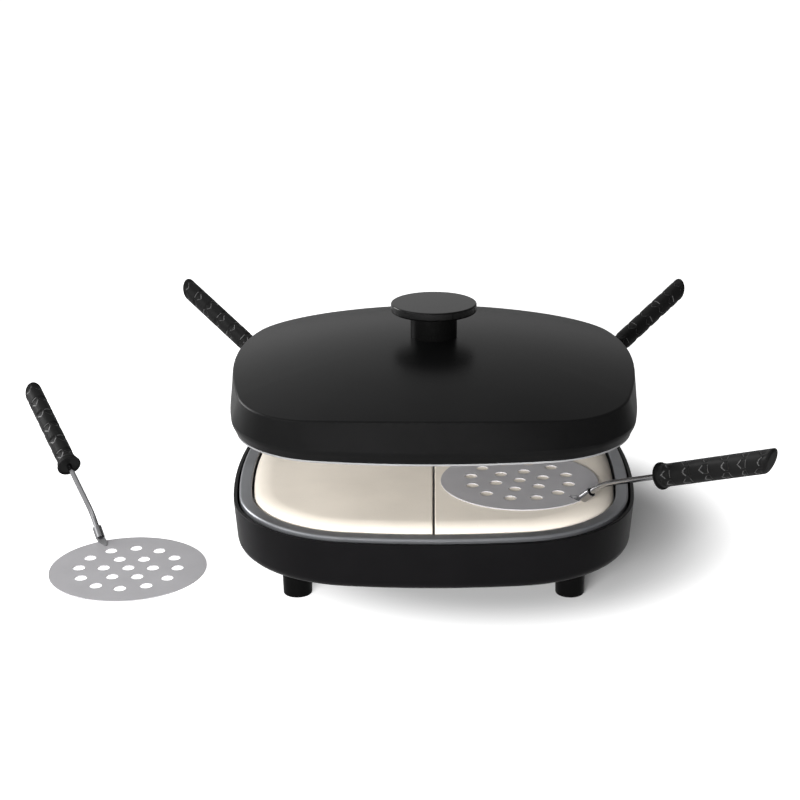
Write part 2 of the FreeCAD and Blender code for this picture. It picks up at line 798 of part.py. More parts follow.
def standoffs():
    body = new_body("tray_standoffs")
    tubes = level_sketch(body, f"{POST_TOP} + shield_sheet")
    draw_four_circles(tubes, POST_X, "post_place_y", "standoff_radius")
    draw_four_circles(tubes, POST_X, "post_place_y", "screw_radius")
    pad(body, tubes, f"{TRAY_UNDER} - {POST_TOP} - shield_sheet")


def heat_shield():
    body = new_body("heat_shield")
    dish = level_sketch(body, POST_TOP)
    draw_outline(dish, BASE_OUTLINE, "shield_inset")
    pad(body, dish, "shield_rim")
    inside = level_sketch(body, f"{POST_TOP} + shield_rim")
    draw_outline(inside, BASE_OUTLINE, "shield_inset + shield_sheet")
    pocket(body, inside, "shield_rim - shield_sheet")
    drill_up(body, POST_X, "post_place_y", POST_TOP, "shield_sheet")
    legs = level_sketch(body, POST_TOP)
    for side in ("", "-"):
        draw_circle(legs, f"{side}element_end_gap", ELEMENT_END, "element_leg_hole")
    pocket(body, legs, "shield_sheet", backwards=True)


def element(label, height, direction):
    """A tubular heating element: a rounded square loop whose two ends turn up or down."""
    body = new_body(label)
    rear = f"({ELEMENT_END} - element_end_bend - 2 * element_radius)"
    loop = level_sketch(body, height)
    draw_route(loop, [
        ("element_end_gap", rear), ("element_end_gap", ELEMENT_HALF),
        (ELEMENT_HALF, ELEMENT_HALF), (ELEMENT_HALF, f"-{ELEMENT_HALF}"),
        (f"-{ELEMENT_HALF}", f"-{ELEMENT_HALF}"), (f"-{ELEMENT_HALF}", ELEMENT_HALF),
        ("-element_end_gap", ELEMENT_HALF), ("-element_end_gap", rear),
    ], ["element_end_bend", "element_bend", "element_bend", "element_bend", "element_bend",
        "element_end_bend"])
    section = front_sketch(body, rear)
    draw_circle(section, "element_end_gap", height, "element_radius")
    sweep(body, loop, section)
    for side in ("", "-"):
        place = f"{side}element_end_gap"
        leg = side_sketch(body, place)
        draw_route(leg, [
            (rear, height), (ELEMENT_END, height),
            (ELEMENT_END, f"{height} + {direction} * element_leg"),
        ], ["element_end_bend"])
        section = front_sketch(body, rear)
        draw_circle(section, place, height, "element_radius")
        sweep(body, leg, section)


def element_clips(label, surface, direction, drop):
    """Four saddles that hold an element's side runs to the sheet beside them."""
    body = new_body(label)
    inner = "(element_radius + clip_clearance)"
    outer = f"({inner} + clip_sheet)"
    depth = f"({drop} + {inner})"
    shape = [
        (f"-({outer} + clip_foot)", "0"), (f"-({outer} + clip_foot)", "clip_sheet"),
        (f"-{outer}", "clip_sheet"), (f"-{outer}", f"{depth} + clip_sheet"),
        (outer, f"{depth} + clip_sheet"), (outer, "clip_sheet"),
        (f"({outer} + clip_foot)", "clip_sheet"), (f"({outer} + clip_foot)", "0"),
        (inner, "0"), (inner, depth), (f"-{inner}", depth), (f"-{inner}", "0"),
    ]
    for end in ("", "-"):
        for side in ("", "-"):
            sketch = front_sketch(body, f"{end}clip_place")
            draw_polygon(sketch, [(f"{side}{ELEMENT_HALF} + {across}",
                                   f"{surface} + {direction} * ({down})")
                                  for across, down in shape])
            pad(body, sketch, "clip_width", both_ways=True)


def thermostat():
    body = new_body("thermostat", placing(y="-thermostat_place"))
    turn_profile(body, [
        ("0", TRAY_UNDER), ("thermostat_radius", TRAY_UNDER),
        ("thermostat_radius", f"{TRAY_UNDER} - thermostat_height / 2"),
        ("thermostat_cap_radius", f"{TRAY_UNDER} - thermostat_height / 2"),
        ("thermostat_cap_radius", f"{TRAY_UNDER} - thermostat_height"),
        ("0", f"{TRAY_UNDER} - thermostat_height"),
    ])
    tabs = level_sketch(body, f"{TRAY_UNDER} - thermostat_height")
    for side in ("", "-"):
        middle = f"{side}thermostat_radius / 2"
        draw_box(tabs, f"{middle} - tab_sheet / 2", "-tab_width / 2",
                 f"{middle} + tab_sheet / 2", "tab_width / 2")
    pad(body, tabs, "tab_length", backwards=True)


def terminal_block():
    body = new_body("terminal_block",
                    placing("terminal_place_x", TERMINAL_Y, FLOOR_TOP))
    block = level_sketch(body, "0")
    draw_box(block, "-terminal_length / 2", "-terminal_width / 2",
             "terminal_length / 2", "terminal_width / 2")
    pad(body, block, "terminal_height")
    holes = front_sketch(body, "-terminal_width / 2")
    for index in (-1, 0, 1):
        draw_circle(holes, f"{index} * terminal_pitch", "terminal_height / 2", "terminal_hole")
    pocket(body, holes, "terminal_width")


def cord_gland():
    body = new_body("cord_gland", placing("gland_place_x", BLOCK_FACE, SERVICE_HEIGHT))
    turn_profile(body, [
        ("gland_bore", "gland_flange"), ("gland_flange_radius - gland_flange / 2", "gland_flange"),
        ("gland_flange_radius", "gland_flange / 2"), ("gland_flange_radius", "0"),
        ("gland_radius", "0"), ("gland_radius", "-(housing_wall)"),
        ("gland_flange_radius", "-(housing_wall)"),
        ("gland_flange_radius", "-(housing_wall + gland_flange)"),
        ("gland_radius", "-(housing_wall + gland_flange)"),
        ("gland_radius", "-(housing_wall + gland_tail)"),
        ("gland_bore", "-(housing_wall + gland_tail)"),
    ], along="Y")


def switch_frame():
    body = new_body("switch_frame", placing("-switch_place_x", BLOCK_FACE, SERVICE_HEIGHT))
    bezel = front_sketch(body, "0")
    draw_box(bezel, "-switch_width / 2", "-switch_height / 2", "switch_width / 2",
             "switch_height / 2")
    pad(body, bezel, "switch_bezel", backwards=True)
    core = front_sketch(body, "0")
    draw_box(core, "-(switch_width / 2 - switch_bezel_lap)",
             "-(switch_height / 2 - switch_bezel_lap)",
             "switch_width / 2 - switch_bezel_lap", "switch_height / 2 - switch_bezel_lap")
    pad(body, core, "switch_depth")
    cavity = front_sketch(body, "switch_bezel")
    draw_box(cavity, "-(switch_width / 2 - switch_side)", "-(switch_height / 2 - switch_side)",
             "switch_width / 2 - switch_side", "switch_height / 2 - switch_side")
    pocket(body, cavity, "switch_cavity", backwards=True)
    bearing = side_sketch(body, "0")
    draw_circle(bearing, "0", "0", "rocker_axle + axle_clearance")
    pocket(body, bearing, "switch_width - 2 * switch_bezel_lap", both_ways=True)


def switch_rocker():
    body = new_body("switch_rocker", placing("-switch_place_x", BLOCK_FACE, SERVICE_HEIGHT,
                                             roll="rocker_tilt"))
    face = side_sketch(body, "0")
    draw_polygon(face, [
        ("rocker_middle", "0"), ("rocker_end", "rocker_length / 2"),
        ("-rocker_end / 2", "rocker_length / 2"), ("-rocker_back", "rocker_length / 4"),
        ("-rocker_back", "-rocker_length / 4"), ("-rocker_end / 2", "-rocker_length / 2"),
        ("rocker_end", "-rocker_length / 2"),
    ])
    pad(body, face, "switch_width - 2 * switch_side - 2 * rocker_clearance", both_ways=True)
    axle = side_sketch(body, "0")
    draw_circle(axle, "0", "0", "rocker_axle")
    pad(body, axle, "switch_width - 2 * switch_bezel_lap", both_ways=True)


def stone(label, side):
    body = new_body(label)
    plan = level_sketch(body, f"{WELL_FLOOR} + stone_seat_gap")
    draw_outline(plan, BASE_OUTLINE, STONE_INSET)
    pad(body, plan, "stone_thickness")
    path = level_sketch(body, STONE_TOP)
    draw_outline(path, BASE_OUTLINE, STONE_INSET)
    profile = front_sketch(body, "0")
    draw_elliptical_round(profile)
    sweep(body, path, profile, cut=True)
    other_half = level_sketch(body, f"{WELL_FLOOR} + stone_seat_gap")
    near, far = f"{side}stone_split_gap / 2", f"-({side}base_half)"
    draw_box(other_half, near, "-base_half", far, "base_half")
    pocket(body, other_half, "stone_thickness", backwards=True)
    top, split = size(STONE_TOP), size("stone_split_gap / 2")
    round_edges(body, "stone_split_round",
                lambda edge: at_height(edge, top) and edge.BoundBox.XLength < 1e-4
                and abs(abs(edge.BoundBox.XMin) - split) < 1e-4)


def draw_elliptical_round(sketch):
    """Draw what an elliptical rounding takes off the stone's upper edge."""
    edge = f"(base_half - {STONE_INSET})"
    middle_x = f"({edge} - stone_round_width)"
    middle_z = f"({STONE_TOP} - stone_round_height)"
    spare = "stone_clearance"
    x, z = size(middle_x), size(middle_z)
    ellipse = Part.Ellipse(Vector(x, z, 0), size("stone_round_width"), size("stone_round_height"))
    arc = sketch.addGeometry(Part.ArcOfEllipse(ellipse, 0, math.pi / 2), False)
    sketch.exposeInternalGeometry(arc)
    outside = [(middle_x, STONE_TOP), (middle_x, f"{STONE_TOP} + {spare}"),
               (f"{edge} + {spare}", f"{STONE_TOP} + {spare}"),
               (f"{edge} + {spare}", middle_z), (edge, middle_z)]
    places = [Vector(size(across), size(up), 0) for across, up in outside]
    lines = [sketch.addGeometry(Part.LineSegment(here, there), False)
             for here, there in zip(places, places[1:])]
    for here, there in zip(lines, lines[1:]):
        sketch.addConstraint(Sketcher.Constraint("Coincident", here, 2, there, 1))
    sketch.addConstraint(Sketcher.Constraint("Coincident", arc, 2, lines[0], 1))
    sketch.addConstraint(Sketcher.Constraint("Coincident", arc, 1, lines[-1], 2))
    place_point(sketch, arc, 3, middle_x, middle_z)
    for line, (across, up) in zip(lines, outside):
        place_point(sketch, line, 1, across, up)
    place_point(sketch, lines[-1], 2, *outside[-1])


def lid_walls(body, inset="0"):
    """Raise the lid's walls from their widest place, and tuck them in below it."""
    for length, lean, below in (("dome_apex", "lid_draft", False),
                                ("lid_edge_rise", EDGE_LEAN, True)):
        widest = level_sketch(body, LID_WIDEST)
        draw_outline(widest, LID_OUTLINE, inset)
        pad(body, widest, length, taper=f"-{lean}", backwards=below)


def lid_shell():
    body = new_body("lid_shell")
    lid_walls(body)
    widest = size(LID_WIDEST)
    round_edges(body, "lid_edge_round", lambda edge: at_height(edge, widest))
    crop_to_dome(body, "lid_height + dome_apex")
    round_edges(body, "lid_crease_round", on_dome_edge(body))
    hollow_out(body)
    screw_hole = level_sketch(body, "lid_height")
    draw_circle(screw_hole, "0", "0", HOLE)
    pocket(body, screw_hole, "dome_apex + lid_sheet", backwards=True)
    drill_for_arms(body)


def drill_for_arms(body):
    """Drill the holes through which the hinge arms are screwed on."""
    drill_rear(body, "arm_screw_spacing", "lid_height + arm_screw_height",
               f"{LID_HALF} - 5 * lid_sheet - arm_plate_front_gap")


def on_dome_edge(body):
    """A test for the edges where the dome meets the walls."""
    shape = body.Tip.Shape

    def meets_dome(edge):
        faces = shape.ancestorsOfType(edge, Part.Face)
        return sum(isinstance(face.Surface, Part.Sphere) for face in faces) == 1
    return meets_dome


def hollow_out(body):
    """Take the lid's inside away from its solid, one sheet in from the walls and the dome."""
    inside = doc.addObject("PartDesign::Body", "lid_inside")
    lid_walls(inside, "lid_sheet")
    crop_to_dome(inside, "lid_height + dome_apex - lid_sheet")
    combine(body, inside, "Cut")


def lid_liner():
    body = new_body("lid_liner")
    low = "(lid_height - liner_rim)"
    rim = level_sketch(body, low)
    draw_outline(rim, LID_OUTLINE, "lid_edge_tuck + liner_gap")
    pad(body, rim, "liner_rim")
    pan = level_sketch(body, "lid_height")
    draw_outline(pan, LID_OUTLINE, LINER_INSET)
    pad(body, pan, "liner_ceiling + liner_sheet", taper="-lid_draft")
    mouth = level_sketch(body, low)
    draw_outline(mouth, LID_OUTLINE, f"{LINER_INSET} + liner_rim_width")
    pocket(body, mouth, "liner_rim", backwards=True)
    inside = level_sketch(body, "lid_height")
    draw_outline(inside, LID_OUTLINE, f"{LINER_INSET} + liner_sheet")
    pocket(body, inside, "liner_ceiling", taper="-lid_draft", backwards=True)
    drill_up(body, LID_POST, LID_POST, CEILING, "liner_sheet")
    legs = level_sketch(body, CEILING)
    for side in ("", "-"):
        draw_circle(legs, f"{side}element_end_gap", ELEMENT_END, "element_leg_hole")
    pocket(body, legs, "liner_sheet", backwards=True)
    drill_for_arms(body)


def lid_posts():
    body = new_body("lid_posts")
    posts = level_sketch(body, f"{CEILING} + liner_sheet")
    draw_four_circles(posts, LID_POST, LID_POST, "lid_post_radius")
    pad(body, posts, "dome_apex")
    crop_to_dome(body, "lid_height + dome_apex - lid_sheet")
    holes = level_sketch(body, f"{CEILING} + liner_sheet")
    draw_four_circles(holes, LID_POST, LID_POST, "screw_radius")
    pocket(body, holes, "2 * lid_post_radius", backwards=True)


def knob_cap():
    body = new_body("knob_cap")
    top = f"({NECK_TOP} + knob_cap)"
    turn_profile(body, [("0", NECK_TOP), ("knob_radius", NECK_TOP), ("knob_radius", top),
                        ("0", top)])
    low, high = size(NECK_TOP), size(top)
    round_edges(body, "knob_edge_round", lambda edge: at_height(edge, low) or at_height(edge, high))
    thread = level_sketch(body, NECK_TOP)
    draw_circle(thread, "0", "0", "screw_radius")
    pocket(body, thread, "knob_cap / 2", backwards=True)


def knob_neck():
    body = new_body("knob_neck")
    turn_profile(body, [
        (NECK_INSIDE, NECK_BOTTOM), ("neck_radius", NECK_BOTTOM), ("neck_radius", NECK_TOP),
        (HOLE, NECK_TOP), (HOLE, f"{NECK_TOP} - neck_top"), (NECK_INSIDE, f"{NECK_TOP} - neck_top"),
    ])


def hinge_bracket(label, side):
    body = new_body(label, placing(f"{side}hinge_place_x"))
    back = f"({HINGE_Y} + knuckle_radius)"
    front = "(base_half + bracket_front_gap)"
    inside = "(base_half - bracket_foot_depth)"
    low = "(foot_height + bracket_foot)"
    post = side_sketch(body, "0")
    draw_polygon(post, [
        (inside, low), (f"{front} + bracket_foot_depth / 2", low), (back, f"{RIM} + bracket_foot"),
        (back, "hinge_height"), (f"{back} - 2 * knuckle_radius", "hinge_height"),
        (front, "hinge_height - 2 * knuckle_radius"), (front, f"{RIM} - bracket_foot / 2"),
        (inside, f"{RIM} - bracket_foot / 2"),
    ])
    pad(body, post, f"2 * {BRACKET_HALF}", both_ways=True)
    head = side_sketch(body, "0")
    draw_circle(head, HINGE_Y, "hinge_height", "knuckle_radius")
    pad(body, head, f"2 * {BRACKET_HALF}", both_ways=True)
    slot = front_sketch(body, "0")
    half = "(knuckle_width / 2 + knuckle_side_gap)"
    draw_box(slot, f"-{half}", "hinge_height - knuckle_radius - slot_clearance", half,
             "hinge_height + 2 * knuckle_radius")
    pocket(body, slot, f"2 * {back}")
    saddle = body_outline_at(body, side, BASE_OUTLINE, RIM)
    pocket(body, saddle, "housing_height", taper="-housing_draft")
    pin = side_sketch(body, "0")
    draw_circle(pin, HINGE_Y, "hinge_height", "hinge_pin_radius")
    pocket(body, pin, f"2 * {BRACKET_HALF}", both_ways=True)
    for height in ("foot_height + bracket_screw_low", "foot_height + bracket_screw_high"):
        hole = front_sketch(body, "base_half - bracket_foot_depth")
        draw_circle(hole, "0", height, HOLE)
        pocket(body, hole, f"2 * bracket_foot_depth + {HINGE_Y}")
        seat = front_sketch(body, f"{front} + bracket_front_gap")
        draw_circle(seat, "0", height, "screw_head_radius + screw_hole_clearance")
        pocket(body, seat, HINGE_Y)


def body_outline_at(body, side, outline, height):
    """An outline sketch in the frame of a body that stands at a hinge's place."""
    sketch = level_sketch(body, height)
    bind(sketch, "AttachmentOffset.Base.x", f"-({side}hinge_place_x)")
    draw_outline(sketch, outline)
    return sketch


def hinge_arm(label, side):
    body = new_body(label, placing(f"{side}hinge_place_x"))
    inside = f"({LID_HALF} - bracket_foot_depth)"
    plate = front_sketch(body, inside)
    draw_box(plate, "-arm_plate_width / 2", "lid_height + arm_plate_low", "arm_plate_width / 2",
             "lid_height + arm_plate_high")
    pad(body, plate, f"{ARM_FACE} - {inside}", backwards=True)
    neck = side_sketch(body, "0")
    draw_polygon(neck, [
        (f"{ARM_FACE} - 2 * lid_sheet", "lid_height + arm_plate_low"),
        (ARM_FACE, "lid_height + arm_plate_low"), (ARM_FACE, "hinge_height - arm_neck"),
        (HINGE_Y, "hinge_height - knuckle_radius"),
        (HINGE_Y, "hinge_height + knuckle_radius"),
        (ARM_FACE, "hinge_height + knuckle_radius + arm_neck"),
        (f"{ARM_FACE} - 2 * lid_sheet", "hinge_height + knuckle_radius + arm_neck"),
    ])
    pad(body, neck, "knuckle_width", both_ways=True)
    knuckle = side_sketch(body, "0")
    draw_circle(knuckle, HINGE_Y, "hinge_height", "knuckle_radius")
    pad(body, knuckle, "knuckle_width", both_ways=True)
    for length, lean, above in (("dome_apex", "lid_draft", True),
                                ("lid_edge_rise", EDGE_LEAN, False)):
        saddle = body_outline_at(body, side, LID_OUTLINE, LID_WIDEST)
        pocket(body, saddle, length, taper=f"-{lean}", backwards=above)
    pin = side_sketch(body, "0")
    draw_circle(pin, HINGE_Y, "hinge_height", "hinge_pin_radius + hinge_pin_clearance")
    pocket(body, pin, "knuckle_width", both_ways=True)
    holes = front_sketch(body, inside)
    for end in ("", "-"):
        draw_circle(holes, f"{end}arm_screw_spacing / 2", "lid_height + arm_screw_height", HOLE)
    pocket(body, holes, f"{ARM_FACE} - {inside}")


def hinge_pin(label, side):
    body = new_body(label, placing(f"{side}hinge_place_x"))
    pin = side_sketch(body, "0")
    draw_circle(pin, HINGE_Y, "hinge_height", "hinge_pin_radius")
    pad(body, pin, f"2 * {BRACKET_HALF}", both_ways=True)


def spatula(name, x, y, z, turn, rise):
    """One spatula, modelled with its disc about the origin and its handle along +X."""
    place = placing(x, y, z, turn)
    blade(f"blade_{name}", place)
    socket(f"socket_{name}", place)
    rod(f"rod_{name}", place, rise)
    handle(f"handle_{name}", place, rise)


def blade(label, place):
    body = new_body(label, place)
    disc = level_sketch(body, "0")
    draw_circle(disc, "0", "0", "blade_radius")
    pad(body, disc, "blade_sheet")
    middle = level_sketch(body, "0")
    draw_circle(middle, "0", "0", "blade_hole")
    pocket(body, middle, "blade_sheet", backwards=True)
    for ring, count in (("blade_ring_one", 6), ("blade_ring_two", 12)):
        hole = level_sketch(body, "0")
        draw_circle(hole, ring, "0", "blade_hole")
        cut = pocket(body, hole, "blade_sheet", backwards=True)
        before = body.Shape.Volume
        pattern = body.newObject("PartDesign::PolarPattern", f"{label}_holes")
        pattern.Originals = [cut]
        pattern.Axis = (hole, ["N_Axis"])
        pattern.Angle = 360
        pattern.Occurrences = count
        body.Tip = pattern
        doc.recompute()
        check_cut(body, before)


def socket(label, place):
    """The tube at the edge of the disc that grips the rod, with the strap that holds it."""
    body = new_body(label, place)
    strap = front_sketch(body)
    top = f"{SOCKET_HEIGHT} + socket_radius / 2"
    draw_polygon(strap, [
        ("socket_place - strap_reach", "blade_sheet"), ("socket_place - socket_rise", "blade_sheet"),
        ("socket_place + socket_radius", SOCKET_HEIGHT), ("socket_place + socket_radius", top),
        ("socket_place", top), ("socket_place - strap_reach / 2", "blade_sheet + strap_sheet"),
        ("socket_place - strap_reach", "blade_sheet + strap_sheet / 2"),
    ])
    pad(body, strap, "strap_width", both_ways=True)
    tube = tilted_sketch(body, "socket_place", SOCKET_HEIGHT, SOCKET_TILT)
    draw_circle(tube, "0", "0", "socket_radius")
    pad(body, tube, "socket_length")
    bore = tilted_sketch(body, "socket_place", SOCKET_HEIGHT, SOCKET_TILT)
    draw_circle(bore, "0", "0", "rod_radius")
    bind(bore, "AttachmentOffset.Base.x", "0")
    pocket(body, bore, "socket_length + rod_radius", backwards=True)


def rod(label, place, rise):
    body = new_body(label, place)
    path = front_sketch(body)
    end = f"(handle_start + rod_in_handle * cos({rise}))"
    draw_route(path, [
        ("socket_place", SOCKET_HEIGHT), ("rod_knee", "rod_knee_height"),
        (end, f"rod_knee_height + ({end} - rod_knee) * tan({rise})"),
    ], ["rod_bend"])
    section = tilted_sketch(body, "socket_place", SOCKET_HEIGHT, SOCKET_TILT)
    draw_circle(section, "0", "0", "rod_radius")
    sweep(body, path, section)


def handle(label, place, rise):
    """A handle in its own frame: from its collar's face along +X, with its top at +Z."""
    start_height = f"(rod_knee_height + (handle_start - rod_knee) * tan({rise}))"
    body = new_body(label, f"{place} * " + placing("handle_start", z=start_height,
                                                  pitch=f"-{rise}"))
    grip_length = "(handle_length - collar_length)"
    waves = max(1, round(size(f"{grip_length} / handle_wave_length")))
    grip = []
    for index in range(2 * waves + 1):
        ring = side_sketch(body, f"collar_length + {index} * {grip_length} / {2 * waves}")
        swell = "handle_wave" if index % 2 else "-handle_wave"
        draw_ellipse(ring, f"handle_width / 2 + {swell}", f"handle_height / 2 + {swell}")
        grip.append(ring)
    loft = body.newObject("PartDesign::AdditiveLoft", f"{label}_loft")
    loft.Profile = grip[0]
    loft.Sections = grip[1:]
    body.Tip = loft
    doc.recompute()
    turn_profile(body, [
        ("0", "collar_cup"), ("collar_radius - 2 * collar_round", "collar_cup"),
        ("collar_radius - collar_round", "0"), ("collar_radius", "collar_round"),
        ("collar_radius", "collar_length - collar_round"),
        ("collar_radius - collar_round", "collar_length"), ("0", "collar_length"),
    ], along="X")
    slant = front_sketch(body)
    draw_polygon(slant, [
        ("handle_length - 3 * handle_slant / 2", "-handle_height"),
        ("handle_length + handle_slant / 2", "handle_height"),
        ("handle_length + handle_slant", "handle_height"),
        ("handle_length + handle_slant", "-handle_height"),
    ])
    pocket(body, slant, "2 * handle_width", both_ways=True)
    bore = side_sketch(body, "0")
    draw_circle(bore, "0", "0", "rod_radius")
    pocket(body, bore, "rod_in_handle", backwards=True)


def save():
    """Check every object, then write each sub-part to its own file."""
    doc.recompute()
    for item in doc.Objects:
        if {"Invalid", "Error"} & set(item.State):
            raise RuntimeError(f"{item.Name} failed: {item.State}")
    for node in nodes:
        if node.Shape.isNull() or not node.Shape.isValid():
            raise RuntimeError(f"{node.Label} has no valid shape")
    os.makedirs("parts", exist_ok=True)
    for node in nodes:
        node.Shape.exportStep(f"parts/{node.Label}.step")
        print(f"{node.Label}: {len(node.Shape.Solids)} solid, {node.Shape.Volume / 1000:.2f} cm3")


def main():
    housing()
    bottom_cover()
    for end, end_name in (("-", "front"), ("", "rear")):
        for side, side_name in (("-", "left"), ("", "right")):
            foot(f"foot_{end_name}_{side_name}", side, end)
    screws("foot_screws", four_places(FOOT_X, FOOT_Y, "foot_recess_depth"),
           "foot_height + housing_floor + screw_end - foot_recess_depth")
    tray()
    standoffs()
    heat_shield()
    element("lower_element", f"({TRAY_UNDER} - lower_element_drop)", "-1")
    element_clips("lower_element_clips", TRAY_UNDER, "-1", "lower_element_drop")
    thermostat()
    screws("tray_screws", four_places(POST_X, "post_place_y",
                                      "(foot_height + screw_head + screw_hole_clearance)"),
           f"{TRAY_UNDER} - foot_height - 2 * screw_head")
    screws("cover_screws", four_places(COVER_SCREW, "cover_screw_place", "foot_height"),
           "housing_floor + screw_end")
    terminal_block()
    cord_gland()
    switch_frame()
    switch_rocker()
    for side, side_name in (("-", "left"), ("", "right")):
        hinge_bracket(f"hinge_bracket_{side_name}", side)
        hinge_pin(f"hinge_pin_{side_name}", side)
        hinge_arm(f"hinge_arm_{side_name}", side)
        stone(f"stone_{side_name}", side)
    wall_screws("hinge_bracket_screws",
                [(f"{side}hinge_place_x", "(base_half + 2 * bracket_front_gap)",
                  f"(foot_height + {height})")
                 for side in ("", "-") for height in ("bracket_screw_low", "bracket_screw_high")],
                "bracket_foot_depth + 2 * bracket_front_gap")
    wall_screws("hinge_arm_screws",
                [(f"({side}hinge_place_x {end} arm_screw_spacing / 2)",
                  ARM_FACE, "(lid_height + arm_screw_height)")
                 for side in ("", "-") for end in "+-"],
                f"{ARM_FACE} - {LID_HALF} + arm_screw_end_inset")
    lid_shell()
    lid_liner()
    lid_posts()
    element("upper_element", f"({CEILING} - upper_element_drop)", "1")
    element_clips("upper_element_clips", CEILING, "-1", "upper_element_drop")
    screws("liner_screws", four_places(LID_POST, LID_POST, CEILING),
           "liner_sheet + 2 * lid_post_radius")
    knob_neck()
    knob_cap()
    screws("knob_screw", [("0", "0", "(lid_height + dome_apex - lid_sheet)")],
           "lid_sheet + neck_height + knob_cap / 2")
    on_stone = f"{STONE_TOP} + blade_gap"
    spatula("front_right", FRONT_DISC_X, f"-{FRONT_DISC_Y}", on_stone, "front_turn", "front_rise")
    spatula("rear_right", REAR_DISC_X, REAR_DISC_Y, on_stone, "rear_turn", "rear_rise")
    spatula("rear_left", f"-{REAR_DISC_X}", REAR_DISC_Y, on_stone, "180 - rear_turn", "rear_rise")
    spatula("loose", "-(base_half + loose_disc_reach)", "loose_disc_y", "0", "loose_turn",
            "loose_rise")
    save()


main()
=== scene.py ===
"""An electric pizza maker in a plain studio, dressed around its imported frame.

Each sub-assembly is a class. Its fields are its sizes in millimetres, and its methods model its
pieces in edit mode, give them their finish and let them ride on their body of the frame.
The origin is the middle of the footprint on the table, +X is right, +Y is back and +Z is up.
"""

import logging
import math
from collections.abc import Callable, Iterator, Sequence
from contextlib import contextmanager
from dataclasses import dataclass
from enum import Enum

import bpy
from mathutils import Matrix, Vector


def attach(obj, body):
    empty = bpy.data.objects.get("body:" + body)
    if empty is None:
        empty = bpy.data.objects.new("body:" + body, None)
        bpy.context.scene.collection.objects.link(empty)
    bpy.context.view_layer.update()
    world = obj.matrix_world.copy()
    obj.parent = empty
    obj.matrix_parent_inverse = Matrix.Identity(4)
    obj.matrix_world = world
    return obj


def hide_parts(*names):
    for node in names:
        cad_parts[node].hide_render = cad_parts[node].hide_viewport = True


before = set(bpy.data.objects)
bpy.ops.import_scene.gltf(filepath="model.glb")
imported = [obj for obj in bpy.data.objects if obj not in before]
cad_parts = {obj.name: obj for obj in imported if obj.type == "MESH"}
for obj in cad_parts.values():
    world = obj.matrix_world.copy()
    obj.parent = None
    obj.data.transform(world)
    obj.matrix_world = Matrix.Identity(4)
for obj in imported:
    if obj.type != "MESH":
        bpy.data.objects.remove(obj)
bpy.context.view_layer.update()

LOG = logging.getLogger("pizza_maker")
MM = 0.001
FULL_TURN = math.tau
WELD = 1e-6
BEND_STEPS, BEND_FACE = 4, 6.0
Point = tuple[float, ...]
Colour = tuple[float, float, float]
Inputs = dict[str | int, object]


class Way(Enum):
    """An axis that a drawing is turned about."""

    X = (1.0, 0.0, 0.0)
    Y = (0.0, 1.0, 0.0)
    Z = (0.0, 0.0, 1.0)


class Side(Enum):
    """A side of the machine, and the sign of its X."""

    LEFT = -1
    RIGHT = 1


class Pick(Enum):
    """What edit mode selects."""

    POINTS = "VERT"
    EDGES = "EDGE"
    FACES = "FACE"


class Joining(Enum):
    """What a second piece does to the first."""

    ADD = "UNION"
    CUT = "DIFFERENCE"


class Grain(Enum):
    """How the fine relief of a surface runs: the share of its scale along X, Y and Z."""

    EVEN = (1.0, 1.0, 1.0)
    BRUSHED = (0.02, 1.0, 1.0)


def feed(tree: bpy.types.NodeTree, node: bpy.types.Node, inputs: Inputs) -> None:
    """Give a node what it needs.

    Args:
        tree: The node tree.
        node: The node.
        inputs: For each input, by name or number, a value or the output that is linked to it.
    """
    for key, given in inputs.items():
        if isinstance(given, bpy.types.NodeSocket):
            tree.links.new(given, node.inputs[key])
        else:
            node.inputs[key].default_value = given


def add_node(tree: bpy.types.NodeTree, kind: str, inputs: Inputs | None = None,
             **settings: str) -> bpy.types.bpy_prop_collection:
    """Add a shader node, set it up and feed it.

    Args:
        tree: The node tree.
        kind: The node's type, without the ShaderNode in front.
        inputs: What it is fed.
        settings: Its own settings.

    Returns:
        The node's outputs.
    """
    node = tree.nodes.new(f"ShaderNode{kind}")
    for name, value in settings.items():
        setattr(node, name, value)
    feed(tree, node, inputs or {})
    return node.outputs


